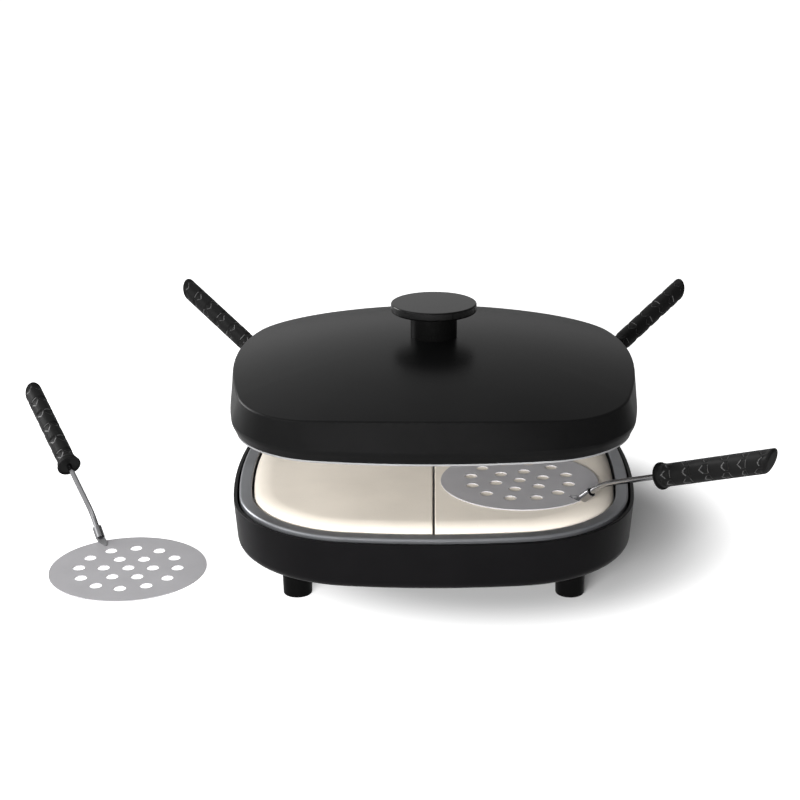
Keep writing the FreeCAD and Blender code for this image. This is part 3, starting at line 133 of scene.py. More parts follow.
@dataclass(frozen=True)
class Finish:
    """A surface: its colour and gloss, and the unevenness that shows from near.

    The blotch is a slow change of colour, the relief is the fine texture, which changes the
    gloss too, and the speckle is how light small specks are. Their sizes are in millimetres.
    """

    name: str
    colour: Colour
    roughness: float
    metallic: float = 0.0
    specular: float = 0.5
    blotch: float = 0.12
    blotch_size: float = 35.0
    blotch_detail: float = 3.0
    gloss_change: float = 0.06
    relief: float = 0.1
    relief_size: float = 0.8
    relief_detail: float = 5.0
    relief_depth: float = 0.05
    grain: Grain = Grain.EVEN
    speckle: float = 0.0
    speckle_colour: Colour = (0.4, 0.3, 0.2)
    speck_spacing: float = 3.2
    speck_edge: tuple[float, float] = (0.05, 0.16)

    def material(self, turn: float = 0.0) -> bpy.types.Material:
        """Make the finish's material, or find it.

        Args:
            turn: The direction of the grain in plan, in degrees.

        Returns:
            The material.
        """
        name = f"finish_{self.name}_{round(turn)}"
        found = bpy.data.materials.get(name)
        return found or self._make(name, turn)

    def _make(self, name: str, turn: float) -> bpy.types.Material:
        """Build the node tree.

        Args:
            name: The material's name.
            turn: The direction of the grain in plan, in degrees.

        Returns:
            The new material.
        """
        material = bpy.data.materials.new(name)
        material.use_nodes = True
        tree = material.node_tree
        place = add_node(tree, "TexCoord")["Object"]
        turned = add_node(tree, "Mapping", {
            "Vector": place, "Rotation": (0, 0, -math.radians(turn))})["Vector"]
        drawn = add_node(tree, "Mapping", {
            "Vector": turned, "Scale": self.grain.value})["Vector"]

        blotch = self._noise(tree, place, self.blotch_size, self.blotch_detail)
        fine = self._noise(tree, drawn, self.relief_size, self.relief_detail)
        colour = self._blend(tree, blotch, self._shade(-self.blotch), self._shade(self.blotch))
        if self.speckle:
            colour = self._speckled(tree, place, colour)
        gloss = add_node(tree, "MapRange", {
            "Value": fine, "To Min": self.roughness - self.gloss_change,
            "To Max": self.roughness + self.gloss_change})["Result"]
        bump = add_node(tree, "Bump", {
            "Height": fine, "Strength": self.relief, "Distance": self.relief_depth * MM})["Normal"]
        feed(tree, tree.nodes["Principled BSDF"], {
            "Base Color": colour, "Metallic": self.metallic, "Roughness": gloss, "Normal": bump,
            "Specular IOR Level": self.specular})
        return material

    def _shade(self, change: float) -> tuple[float, ...]:
        """Return the colour made lighter or darker by a share, with its alpha."""
        return tuple(min(1.0, part * (1 + change)) for part in self.colour) + (1.0,)

    @staticmethod
    def _noise(tree: bpy.types.NodeTree, vector: bpy.types.NodeSocket, size: float,
               detail: float) -> bpy.types.NodeSocket:
        """Add a noise.

        Args:
            tree: The material's node tree.
            vector: Where the noise is read.
            size: The size of its largest features in millimetres.
            detail: How many finer layers it has.

        Returns:
            The noise's value.
        """
        return add_node(tree, "TexNoise", {
            "Vector": vector, "Scale": 1 / (size * MM), "Detail": detail})["Fac"]

    @staticmethod
    def _blend(tree: bpy.types.NodeTree, share: bpy.types.NodeSocket, low: tuple[float, ...],
               high: tuple[float, ...], start: float = 0.3, end: float = 0.7,
               ) -> bpy.types.NodeSocket:
        """Blend two colours.

        Args:
            tree: The material's node tree.
            share: The value that blends them.
            low: The colour up to the start value.
            high: The colour from the end value.
            start: The value where the blend starts.
            end: The value where the blend ends.

        Returns:
            The blended colour.
        """
        ramp = tree.nodes.new("ShaderNodeValToRGB")
        first, last = ramp.color_ramp.elements
        first.position, last.position = start, end
        first.color, last.color = low, high
        tree.links.new(share, ramp.inputs["Fac"])
        return ramp.outputs["Color"]

    def _speckled(self, tree: bpy.types.NodeTree, place: bpy.types.NodeSocket,
                  colour: bpy.types.NodeSocket) -> bpy.types.NodeSocket:
        """Scatter small specks over a colour.

        Args:
            tree: The material's node tree.
            place: The place on the piece.
            colour: The colour under the specks.

        Returns:
            The speckled colour.
        """
        specks = add_node(tree, "TexVoronoi", {
            "Vector": place, "Scale": 1 / (self.speck_spacing * MM)})["Distance"]
        mask = self._blend(tree, specks, (self.speckle,) * 3 + (1.0,), (0.0, 0.0, 0.0, 1.0),
                           *self.speck_edge)
        return add_node(tree, "Mix", {
            "B": self.speckle_colour + (1.0,), "Factor": mask, "A": colour},
            data_type="RGBA")["Result"]


LID_PAINT = Finish("lid_paint", (0.004, 0.004, 0.0041), 0.3, specular=0.09, relief=0.25,
                   relief_size=0.5)
BASE_PLASTIC = Finish("base_plastic", (0.004, 0.0038, 0.0042), 0.32, specular=0.08, relief=0.2,
                      relief_size=0.6)
FOOT_PLASTIC = Finish("foot_plastic", (0.002, 0.002, 0.002), 0.36, specular=0.07, relief=0.15)
KNOB_PLASTIC = Finish("knob_plastic", (0.002, 0.002, 0.002), 0.16, specular=0.2, relief=0.08)
GRIP_PLASTIC = Finish("grip_plastic", (0.005, 0.005, 0.005), 0.4, specular=0.14, relief=0.3,
                      relief_size=0.5)
NECK_PLASTIC = Finish("neck_plastic", (0.002, 0.002, 0.002), 0.3, specular=0.06, relief=0.08)
# Painted highlight: a lighter grey for the thin edges of the grip's marks, where light catches
# them.
PAINTED_GRIP_HIGHLIGHT = Finish("grip_edge", (0.07, 0.07, 0.07), 0.35, specular=0.4, relief=0.1)
BRACKET_PAINT = Finish("bracket_paint", (0.008, 0.008, 0.009), 0.48, specular=0.2, relief=0.3,
                       relief_size=0.4)
TRAY_COATING = Finish("tray_coating", (0.25, 0.255, 0.27), 0.3, metallic=0.75, relief=0.12,
                      relief_size=0.4)
LINER_SHEET = Finish("liner_sheet", (0.6, 0.6, 0.6), 0.5, metallic=0.5, relief=0.1,
                     relief_size=0.6)
# Painted shade: a darker copy of the liner's sheet, laid on the rim that shows below the shell's
# edge.
PAINTED_RIM_SHADE = Finish("painted_rim_shade", (0.3, 0.3, 0.305), 0.45, metallic=0.3, relief=0.1,
                   relief_size=0.6)
SHIELD_SHEET = Finish("shield_sheet", (0.55, 0.55, 0.55), 0.36, metallic=1.0, relief=0.1)
FIRED_CLAY = Finish("fired_clay", (0.88, 0.81, 0.71), 0.55, specular=0.35, blotch=0.05,
                    blotch_size=60.0, relief=0.35, relief_size=0.7, relief_depth=0.08,
                    speckle=0.12)
DISC_STEEL = Finish("disc_steel", (0.5, 0.492, 0.51), 0.5, metallic=0.2, blotch=0.04,
                    relief=0.3, relief_size=0.35, relief_depth=0.02, grain=Grain.BRUSHED,
                    gloss_change=0.08)
WIRE_STEEL = Finish("wire_steel", (0.36, 0.36, 0.37), 0.16, metallic=1.0, blotch=0.05,
                    relief=0.05)
ELEMENT_SHEATH = Finish("element_sheath", (0.1, 0.095, 0.09), 0.5, metallic=0.8, blotch=0.3,
                        blotch_size=12.0, relief=0.3)
COVER_SHEET = Finish("cover_sheet", (0.09, 0.09, 0.095), 0.45, metallic=0.6, relief=0.15)
SCREW_STEEL = Finish("screw_steel", (0.5, 0.5, 0.5), 0.3, metallic=1.0, relief=0.2)
CERAMIC = Finish("ceramic", (0.8, 0.78, 0.72), 0.4, relief=0.2)
GLAND_RUBBER = Finish("gland_rubber", (0.008, 0.008, 0.008), 0.6, specular=0.2, relief=0.3,
                      relief_size=0.5)


def rounded(corners: Sequence[Point], steps: int = 5) -> list[Point]:
    """Round the corners of a line in two coordinates.

    Args:
        corners: The corners, each with a third number for its radius where it is rounded.
        steps: The number of runs in each arc.

    Returns:
        The points of the rounded line.
    """
    points: list[Point] = []
    for index, (across, up, *radius) in enumerate(corners):
        if not radius:
            points.append((across, up))
            continue
        here = Vector((across, up, 0))
        before = Vector((*corners[index - 1][:2], 0)) - here
        after = Vector((*corners[(index + 1) % len(corners)][:2], 0)) - here
        half = before.angle(after) / 2
        middle = (before.normalized() + after.normalized()).normalized()
        centre = here + middle * (radius[0] / math.sin(half))
        start = here + before.normalized() * (radius[0] / math.tan(half)) - centre
        end = here + after.normalized() * (radius[0] / math.tan(half)) - centre
        for step in range(steps + 1):
            place = centre + start.slerp(end, step / steps) * radius[0]
            points.append((place.x, place.y))
    return points


@dataclass(frozen=True)
class RoundedSquare:
    """A plan of four long side arcs and four corner arcs, all tangent."""

    half: float
    side_radius: float
    corner_radius: float
    side_steps: int = 6
    corner_steps: int = 24

    def arcs(self) -> Iterator[tuple[Point, float, int]]:
        """Walk the arcs once round from the middle of the right side.

        Returns:
            The centre of each arc, the angle that it turns and its number of steps.
        """
        offset = self.half - self.side_radius
        reach = self.side_radius - self.corner_radius
        corner = (offset + math.sqrt(2 * reach**2 - offset**2)) / 2
        half_turn = math.atan2(corner, corner - offset)
        for quarter in range(4):
            here = Matrix.Rotation(quarter * FULL_TURN / 4, 3, "Z")
            there = Matrix.Rotation((quarter + 1) * FULL_TURN / 4, 3, "Z")
            side = Vector((offset, 0, 0))
            yield tuple(here @ side), half_turn, self.side_steps
            yield (tuple(here @ Vector((corner, corner, 0))), FULL_TURN / 4 - 2 * half_turn,
                   self.corner_steps)
            yield tuple(there @ side), half_turn, self.side_steps

    def places(self) -> list[Vector]:
        """Walk the plan once round from the middle of the right side.

        Returns:
            The places that a drawing is carried through.
        """
        places = [Vector((self.half, 0, 0))]
        for centre, angle, steps in self.arcs():
            step = Matrix.Rotation(angle / steps, 3, "Z")
            for _ in range(steps):
                places.append(Vector(centre) + step @ (places[-1] - Vector(centre)))
        return places


BASE_PLAN = RoundedSquare(161.7, 542.0, 102.5)
LID_PLAN = RoundedSquare(161.6, 526.0, 83.0)
CREASE_PLAN = RoundedSquare(159.9, 365.0, 80.0)


class Workpiece:
    """A mesh that is drawn and shaped in edit mode. Its sizes go in as millimetres."""

    def __init__(self, name: str) -> None:
        """Start with a single vertex at the origin.

        Args:
            name: The piece's name.
        """
        bpy.ops.object.select_all(action="DESELECT")
        bpy.ops.mesh.primitive_plane_add(size=MM)
        self.object = bpy.context.object
        self.object.name = self.object.data.name = name
        with self.editing(everything=True):
            bpy.ops.mesh.merge(type="CENTER")

    def activate(self) -> None:
        """Select this piece alone and make it the active one."""
        bpy.ops.object.select_all(action="DESELECT")
        self.object.select_set(True)
        bpy.context.view_layer.objects.active = self.object

    @contextmanager
    def editing(self, everything: bool = False, kind: Pick = Pick.POINTS) -> Iterator[None]:
        """Work on the piece in edit mode.

        Args:
            everything: Whether all of it is selected first.
            kind: What is selected.
        """
        self.activate()
        bpy.ops.object.mode_set(mode="EDIT")
        bpy.ops.mesh.select_mode(type=kind.value)
        if everything:
            bpy.ops.mesh.select_all(action="SELECT")
        yield
        bpy.ops.object.mode_set(mode="OBJECT")

    def pick(self, test: Callable[[Vector], bool]) -> None:
        """Select some vertices and nothing else.

        Args:
            test: What the place of each, in millimetres, has to pass.
        """
        mesh = self.object.data
        for item in (*mesh.polygons, *mesh.edges):
            item.select = False
        for vertex in mesh.vertices:
            vertex.select = test(vertex.co / MM)

    def draw(self, points: Sequence[Point], closed: bool = False) -> None:
        """Draw a line by moving the first vertex into place and extruding it on.

        Args:
            points: The places, in three coordinates.
            closed: Whether the line comes back to its start.
        """
        places = [Vector(point) * MM for point in points]
        if closed:
            places.append(places[0])
        with self.editing(everything=True):
            bpy.ops.transform.translate(value=places[0])
            for here, there in zip(places, places[1:]):
                bpy.ops.mesh.extrude_vertices_move(TRANSFORM_OT_translate={"value": there - here})
        if closed:
            self.weld()

    def weld(self) -> None:
        """Join the vertices that lie on each other."""
        with self.editing(everything=True):
            bpy.ops.mesh.remove_doubles(threshold=WELD)

    def turn(self, axis: Point = Way.Z.value, centre: Point = (0, 0, 0), steps: int = 64) -> None:
        """Turn the whole drawing once round an axis.

        Args:
            axis: The axis's direction.
            centre: A place on it.
            steps: The number of faces round it.
        """
        with self.editing(everything=True):
            bpy.ops.mesh.spin(steps=steps, angle=FULL_TURN, center=Vector(centre) * MM, axis=axis)
        self.weld()

    def follow(self, plan: RoundedSquare) -> None:
        """Carry the whole drawing round a plan, from the middle of its right side.

        Args:
            plan: The plan.
        """
        with self.editing(everything=True):
            for centre, angle, steps in plan.arcs():
                bpy.ops.mesh.spin(steps=steps, angle=-angle, center=Vector(centre) * MM,
                                  axis=Way.Z.value)
        self.weld()

    def fill(self) -> None:
        """Close every open rim with a face."""
        with self.editing(everything=True):
            bpy.ops.mesh.fill_holes(sides=0)

    def face(self) -> None:
        """Fill the drawn outline with one face."""
        with self.editing(everything=True):
            bpy.ops.mesh.edge_face_add()

    def push(self, offset: Point) -> None:
        """Extrude all faces into a solid.

        Args:
            offset: How far and which way.
        """
        with self.editing(everything=True, kind=Pick.FACES):
            bpy.ops.mesh.extrude_region_move(
                TRANSFORM_OT_translate={"value": Vector(offset) * MM})
        self.outwards()

    def outwards(self) -> None:
        """Turn all faces outwards."""
        with self.editing(everything=True):
            bpy.ops.mesh.normals_make_consistent(inside=False)

    def modify(self, kind: str, **settings: object) -> None:
        """Add a modifier and apply it.

        Args:
            kind: The modifier's type.
            settings: Its settings.
        """
        self.activate()
        modifier = self.object.modifiers.new(kind.lower(), kind)
        for name, value in settings.items():
            setattr(modifier, name, value)
        bpy.ops.object.modifier_apply(modifier=modifier.name)

    def bevel(self, width: float, segments: int = 3, angle: float = 35.0) -> None:
        """Round the edges that are sharper than an angle in degrees."""
        self.modify("BEVEL", width=width * MM, segments=segments, limit_method="ANGLE",
                    angle_limit=math.radians(angle), miter_outer="MITER_ARC")

    def combine(self, other: "Workpiece", joining: Joining = Joining.CUT) -> None:
        """Add another piece to this one, or cut it away, and drop it.

        Args:
            other: The other piece.
            joining: Which of the two.
        """
        self.modify("BOOLEAN", object=other.object, operation=joining.value, solver="EXACT")
        bpy.data.objects.remove(other.object)

    def place(self, matrix: Matrix) -> None:
        """Move the piece, so that its place is in its mesh.

        Args:
            matrix: Where it goes, in metres.
        """
        self.object.matrix_world = matrix
        self.activate()
        bpy.ops.object.transform_apply(location=True, rotation=True, scale=True)

    def dress(self, finish: Finish, body: str, nodes: Sequence[str], slot: str,
              angle: float = 38.0, turn: float = 0.0) -> None:
        """Smooth the piece, give it its finish and put it in place of nodes of the frame.

        Args:
            finish: The surface.
            body: The body that it rides on.
            nodes: The nodes that it stands for.
            slot: The record's material slot. It is not used.
            angle: Edges sharper than this stay sharp, in degrees.
            turn: The direction of the grain in plan, in degrees.
        """
        self.activate()
        bpy.ops.object.shade_smooth_by_angle(angle=math.radians(angle))
        self.modify("WEIGHTED_NORMAL", keep_sharp=True, weight=80)
        self.object.data.materials.clear()
        self.object.data.materials.append(finish.material(turn))
        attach(self.object, body)
        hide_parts(*nodes)
        LOG.info("%s: %d faces on %s", self.object.name, len(self.object.data.polygons), body)

    def faces_where(self, test: Callable[[Vector], bool]) -> list[int]:
        """Return the numbers of the faces whose centre in millimetres passes a test."""
        return [face.index for face in self.object.data.polygons if test(face.center / MM)]

    def tint(self, finish: Finish, faces: Sequence[int]) -> None:
        """Give a second finish to some faces of a dressed piece.

        Args:
            finish: The second surface.
            faces: The faces' numbers.
        """
        self.object.data.materials.append(finish.material())
        for face in faces:
            self.object.data.polygons[face].material_index = 1


def box(name: str, low: Point, high: Point, bevel: float = 0.0) -> Workpiece:
    """Make a block between two corners, with its edges rounded.

    Args:
        name: The piece's name.
        low: The lowest corner.
        high: The highest corner.
        bevel: The radius of the edges.

    Returns:
        The block.
    """
    piece = Workpiece(name)
    piece.draw([low, (high[0], low[1], low[2]), (high[0], high[1], low[2]),
                (low[0], high[1], low[2])], closed=True)
    piece.face()
    piece.push((0, 0, high[2] - low[2]))
    if bevel:
        piece.bevel(bevel)
    return piece


def slab(name: str, outline: Sequence[Point], half: float) -> Workpiece:
    """Push a flat outline along Y.

    Args:
        name: The piece's name.
        outline: The outline, in X and Z.
        half: Half of its thickness, in front of Y = 0 and behind it.

    Returns:
        The solid.
    """
    piece = Workpiece(name)
    piece.draw([(across, -half, up) for across, up in outline], closed=True)
    piece.face()
    piece.push((0, 2 * half, 0))
    return piece


def lathe(name: str, profile: Sequence[Point], steps: int = 64) -> Workpiece:
    """Turn a profile of (radius, height) once round Z and close its ends.

    Args:
        name: The piece's name.
        profile: The profile; it may come back to its own start.
        steps: The number of faces round it.

    Returns:
        The turned solid.
    """
    piece = Workpiece(name)
    closed = profile[0] == profile[-1]
    points = profile[:-1] if closed else profile
    piece.draw([(radius, 0, height) for radius, height in points], closed)
    piece.turn(steps=steps)
    piece.fill()
    piece.outwards()
    return piece


def ring_round(name: str, plan: RoundedSquare, profile: Sequence[Point],
               closed: bool = False) -> Workpiece:
    """Carry a profile of (inset, height) round a plan and close its ends.

    Args:
        name: The piece's name.
        plan: The plan.
        profile: The profile; the inset is measured inwards from the plan.
        closed: Whether the profile is a loop, as a wall with an open middle has it.

    Returns:
        The solid.
    """
    piece = Workpiece(name)
    piece.draw([(plan.half - inset, 0, height) for inset, height in profile], closed)
    piece.follow(plan)
    if not closed:
        piece.fill()
    piece.outwards()
    return piece


@dataclass(frozen=True)
class Lamp:
    """A soft lamp, in metres and watts, that points at a height over the origin."""

    name: str
    place: Point
    target_height: float
    wide: float
    high: float
    watts: float
    mirrored: bool = True

    def hang(self) -> None:
        """Hang the lamp."""
        target = Vector((0, 0, self.target_height))
        aim = (target - Vector(self.place)).to_track_quat("-Z", "Y").to_euler()
        bpy.ops.object.light_add(type="AREA", location=self.place, rotation=aim)
        lamp = bpy.context.object
        lamp.name = self.name
        lamp.data.shape = "RECTANGLE"
        lamp.data.size, lamp.data.size_y = self.wide, self.high
        lamp.data.energy = self.watts
        lamp.visible_glossy = self.mirrored


LAMPS = (
    Lamp("rear_lamp", (-1.6, 0.9, 0.7), 0.12, 0.9, 0.9, 16),
    Lamp("left_lamp", (-1.7, -0.8, 1.0), 0.1, 1.0, 1.0, 4),
    Lamp("top_lamp", (0, 0.2, 2.0), 0.15, 1.0, 1.0, 3),
    Lamp("front_lamp", (-0.6, -2.1, 0.58), 0.08, 1.3, 0.45, 90, mirrored=False),
)


@dataclass
class Studio:
    """The camera, the pale floor and the soft surroundings.

    The camera's sizes are in millimetres and degrees, and the floor's are in metres. Near the
    shadow's middle the floor shows as it is lit, and further away it glows to white. What a
    piece mirrors is brighter on the left than on the right.
    """

    focal_length: float = 76.78
    distance: float = 1316.35
    height: float = 559.16
    pitch: float = 18.37
    shift: float = -0.0422
    floor_size: float = 60.0
    floor_colour: Colour = (0.8, 0.8, 0.8)
    floor_roughness: float = 0.9
    floor_specular: float = 0.1
    shadow_middle: Point = (0.05, 0.03, 0.0)
    shadow_reach: float = 0.14
    white_from: float = 0.25
    shadow_glow: float = 0.05
    fill: float = 0.04
    left_gloss: float = 0.8
    right_gloss: float = 0.2
    gloss_turn: float = 0.5

    def camera(self) -> None:
        """Look from the photograph's place."""
        bpy.ops.object.camera_add(
            location=(0, -self.distance * MM, self.height * MM),
            rotation=(math.radians(90 - self.pitch), 0, 0))
        camera = bpy.context.object
        camera.data.lens = self.focal_length
        camera.data.shift_x = self.shift
        bpy.context.scene.camera = camera

    def floor(self) -> None:
        """Lay a pale floor that keeps the object's shadow and else shows as white."""
        bpy.ops.mesh.primitive_plane_add(size=self.floor_size)
        floor = bpy.context.object
        floor.name = "studio_floor"
        material = bpy.data.materials.new("studio_floor")
        material.use_nodes = True
        tree = material.node_tree
        shader = tree.nodes["Principled BSDF"]
        feed(tree, shader, {
            "Base Color": self.floor_colour + (1,), "Roughness": self.floor_roughness,
            "Specular IOR Level": self.floor_specular})
        plain = shader.outputs["BSDF"]
        place = add_node(tree, "NewGeometry")["Position"]
        away = add_node(tree, "VectorMath", {0: place, 1: self.shadow_middle},
                        operation="DISTANCE")["Value"]
        level = add_node(tree, "MapRange", {
            "Value": away, "From Min": self.shadow_reach, "From Max": self.white_from,
            "To Min": self.shadow_glow}, interpolation_type="SMOOTHSTEP")["Result"]
        glow = add_node(tree, "Emission", {"Strength": level})["Emission"]
        both = add_node(tree, "AddShader", {0: plain, 1: glow})["Shader"]
        rays = add_node(tree, "LightPath")
        seen = add_node(tree, "MixShader", {
            "Fac": rays["Is Camera Ray"], 1: plain, 2: both})["Shader"]
        feed(tree, tree.nodes["Material Output"], {"Surface": seen})
        floor.data.materials.append(material)

    def world(self) -> None:
        """Surround the scene with white that shows and is mirrored, and lights only softly."""
        world = bpy.data.worlds.new("studio")
        world.use_nodes = True
        tree = world.node_tree
        heading = add_node(tree, "TexCoord")["Generated"]
        across = add_node(tree, "SeparateXYZ", {"Vector": heading})["X"]
        fade = add_node(tree, "MapRange", {
            "Value": across, "From Min": -self.gloss_turn, "From Max": self.gloss_turn,
            "To Min": self.left_gloss, "To Max": self.right_gloss})["Result"]
        rays = add_node(tree, "LightPath")
        mirrored = add_node(tree, "Math", {0: rays["Is Glossy Ray"], 1: fade},
                            operation="MULTIPLY")["Value"]
        seen = add_node(tree, "Math", {0: rays["Is Camera Ray"], 1: mirrored},
                        operation="MAXIMUM")["Value"]
        level = add_node(tree, "MapRange", {"Value": seen, "To Min": self.fill})["Result"]
        feed(tree, tree.nodes["Background"], {"Color": (1, 1, 1, 1), "Strength": level})
        bpy.context.scene.world = world

    def build(self) -> None:
        """Set the whole studio up."""
        self.camera()
        self.floor()
        self.world()
        for lamp in LAMPS:
            lamp.hang()
        bpy.context.scene.view_settings.view_transform = "Standard"
        LOG.info("studio: camera, floor, world and lamps")


@dataclass
class Base:
    """The moulded housing, whose rear block takes the switch and the gland, and its feet and tray.

    The tray's middle is a share of the plan's half, and its roundings are at the foot of its
    well, at its rim and at its outer edge. The block's span and the service height, where the
    switch and the gland sit, are measured from the housing's underside.
    """

    foot_height: float = 24.5
    foot_place: tuple[float, float] = (105.4, 105.8)
    foot_radii: tuple[float, float] = (11.1, 11.6)
    foot_edge: float = 1.2
    foot_bore: float = 2.2
    foot_recess: tuple[float, float] = (5.6, 9.0)
    foot_recess_edge: float = 0.5
    height: float = 38.4
    wall: float = 3.0
    floor: float = 2.5
    draft: float = 4.5
    bottom_round: float = 9.0
    rim_round: float = 0.6
    opening_inset: float = 75.0
    tray_inset: float = 4.7
    tray_rise: float = 3.1
    tray_flange: float = 10.0
    tray_depth: float = 10.0
    tray_skirt: float = 8.5
    tray_sheet: float = 1.0
    tray_rounds: tuple[float, float, float] = (1.2, 1.1, 1.8)
    tray_middle: float = 0.55
    block_half: float = 32.0
    block_front: float = 150.0
    block_back: float = 163.3
    block_span: tuple[float, float] = (5.0, 32.0)
    block_round: float = 1.2
    cavity_front: float = 145.0
    service_height: float = 19.5
    switch_place: float = -18.0
    switch_opening: tuple[float, float] = (6.3, 9.5)
    gland_place: tuple[float, float] = (20.0, 163.0)
    gland_radius: float = 6.0
    drill: float = 20.0

    def housing(self) -> None:
        """Model the black bowl: drafted walls round an open floor, with a block at the rear."""
        rim = self.foot_height + self.height
        lean = math.tan(math.radians(self.draft))
        bottom = self.height * lean
        inner_floor = (self.height - self.floor) * lean + self.wall
        piece = ring_round("housing_bowl", BASE_PLAN, rounded([
            (0, rim, self.rim_round), (bottom, self.foot_height, self.bottom_round),
            (self.opening_inset, self.foot_height),
            (self.opening_inset, self.foot_height + self.floor),
            (inner_floor, self.foot_height + self.floor, self.bottom_round - self.wall),
            (self.wall, rim, self.rim_round),
        ]), closed=True)
        self._add_block(piece)
        piece.dress(BASE_PLASTIC, "base", ["base_housing"], "base_plastic")

    def _add_block(self, piece: Workpiece) -> None:
        """Add the rear block, hollow it and open it for the switch and the gland.

        Args:
            piece: The housing's bowl.
        """
        low, high = (self.foot_height + part for part in self.block_span)
        block = box("rear_block", (-self.block_half, self.block_front, low),
                    (self.block_half, self.block_back, high), self.block_round)
        piece.combine(block, Joining.ADD)
        inner, ceiling = self.block_half - self.wall, high - self.wall
        piece.combine(box("cavity", (-inner, self.cavity_front, low + self.wall),
                          (inner, self.block_back - self.wall, ceiling)))
        service = self.foot_height + self.service_height
        wide, tall = self.switch_opening
        piece.combine(box("switch_opening", (self.switch_place - wide, self.block_front,
                                             service - tall),
                          (self.switch_place + wide, self.block_front + self.drill, ceiling)))
        hole = lathe("gland_hole", [(self.gland_radius, -self.drill),
                                    (self.gland_radius, self.drill)], steps=32)
        hole.place(Matrix.Translation(Vector((*self.gland_place, service)) * MM)
                   @ Matrix.Rotation(FULL_TURN / 4, 4, "X"))
        piece.combine(hole)

    def tray(self) -> None:
        """Model the grey tray: a flange round a well, with a skirt that hides its fixing."""
        top = self.foot_height + self.height + self.tray_rise
        outer, sheet = self.tray_inset, self.tray_sheet
        well = outer + self.tray_flange
        middle = BASE_PLAN.half * self.tray_middle
        foot_round, rim_round, outer_round = self.tray_rounds
        piece = ring_round("tray_pan", BASE_PLAN, rounded([
            (middle, top - self.tray_depth), (well, top - self.tray_depth, foot_round),
            (well, top, rim_round), (outer, top, outer_round),
            (outer, top - self.tray_skirt), (outer + sheet, top - self.tray_skirt),
            (outer + sheet, top - sheet), (well - sheet, top - sheet),
            (well - sheet, top - self.tray_depth - sheet),
            (middle, top - self.tray_depth - sheet),
        ]))
        piece.dress(TRAY_COATING, "base", ["tray"], "tray_metal")

    def foot(self, name: str, x: float, y: float) -> None:
        """Model one round foot, with a rounded lower edge and a recess for its screw.

        Args:
            name: The foot's corner.
            x: Its place across.
            y: Its place in depth.
        """
        (low, high), (recess, deep) = self.foot_radii, self.foot_recess
        piece = lathe(f"foot_peg_{name}", rounded([
            (self.foot_bore, deep), (recess, deep), (recess, 0.0, self.foot_recess_edge),
            (low, 0.0, self.foot_edge), (high, self.foot_height),
            (self.foot_bore, self.foot_height), (self.foot_bore, deep),
        ]), steps=48)
        piece.place(Matrix.Translation(Vector((x, y, 0)) * MM))
        piece.dress(FOOT_PLASTIC, "base", [f"foot_{name}"], "black_plastic")

    def build(self) -> None:
        """Model every piece of the base."""
        self.housing()
        self.tray()
        x, y = self.foot_place
        for end, depth in (("front", -y), ("rear", y)):
            for side, across in (("left", -x), ("right", x)):
                self.foot(f"{end}_{side}", across, depth)


@dataclass
class Stones:
    """The two halves of the baking stone."""

    inset: float = 16.3
    low: float = 56.1
    high: float = 70.2
    round_width: float = 16.0
    round_height: float = 7.6
    lower_edge: float = 0.8
    flat: float = 6.0
    split: float = 1.6
    split_round: float = 1.0
    arc_steps: int = 10

    def half(self, side: Side) -> None:
        """Model one half: a slab with a broad rounded edge, cut down the middle.

        Args:
            side: The side that it lies on.
        """
        name = side.name.lower()
        arc = []
        for step in range(self.arc_steps + 1):
            angle = step / self.arc_steps * FULL_TURN / 4
            arc.append((self.inset + self.round_width * (1 - math.cos(angle)),
                        self.high - self.round_height * (1 - math.sin(angle))))
        piece = ring_round(f"stone_slab_{name}", BASE_PLAN,
                           [(self.inset + self.lower_edge, self.low),
                            (self.inset, self.low + self.lower_edge), *arc,
                            (self.inset + self.round_width + self.flat, self.high)])
        with piece.editing(everything=True):
            bpy.ops.mesh.bisect(plane_co=(side.value * self.split / 2 * MM, 0, 0),
                                plane_no=(side.value, 0, 0), use_fill=True, clear_inner=True)
        piece.pick(lambda place: abs(place.x) < self.split / 2 + 0.01)
        with piece.editing():
            bpy.ops.mesh.bevel(offset=self.split_round * MM, segments=3, affect="EDGES")
        piece.outwards()
        piece.dress(FIRED_CLAY, f"stone_{name}", [f"stone_{name}"], "stone")

    def build(self) -> None:
        """Model both halves."""
        for side in Side:
            self.half(side)


@dataclass(frozen=True)
class Run:
    """A straight stretch of a wire."""

    length: float


@dataclass(frozen=True)
class Bend:
    """A bend of a wire: its radius, its angle in degrees and the axis that it turns about."""

    radius: float
    angle: float
    axis: Point


def wire(name: str, radius: float, start: Point, heading: Point, moves: Sequence[Run | Bend],
         sides: int = 20) -> Workpiece:
    """Lead a round section along straight runs and bends.

    Args:
        name: The piece's name.
        radius: The wire's radius.
        start: The middle of its first end.
        heading: The direction in which it starts.
        moves: The runs and bends in order.
        sides: The number of faces round it.

    Returns:
        The closed wire.
    """
    here, ahead = Vector(start), Vector(heading).normalized()
    piece = Workpiece(name)
    piece.draw([tuple(here + ahead.orthogonal().normalized() * radius)])
    piece.turn(tuple(ahead), tuple(here), sides)
    with piece.editing(everything=True, kind=Pick.EDGES):
        for move in moves:
            if isinstance(move, Run):
                step = ahead * move.length
                bpy.ops.mesh.extrude_region_move(TRANSFORM_OT_translate={"value": step * MM})
                here += step
                continue
            angle, axis = math.radians(move.angle), Vector(move.axis)
            centre = here + axis.cross(ahead) * move.radius
            bpy.ops.mesh.spin(steps=max(BEND_STEPS, round(abs(move.angle) / BEND_FACE)),
                              angle=-angle, center=centre * MM, axis=axis)
            turned = Matrix.Rotation(angle, 3, axis)
            here, ahead = centre + turned @ (here - centre), turned @ ahead
    piece.weld()
    piece.fill()
    piece.outwards()
    return piece


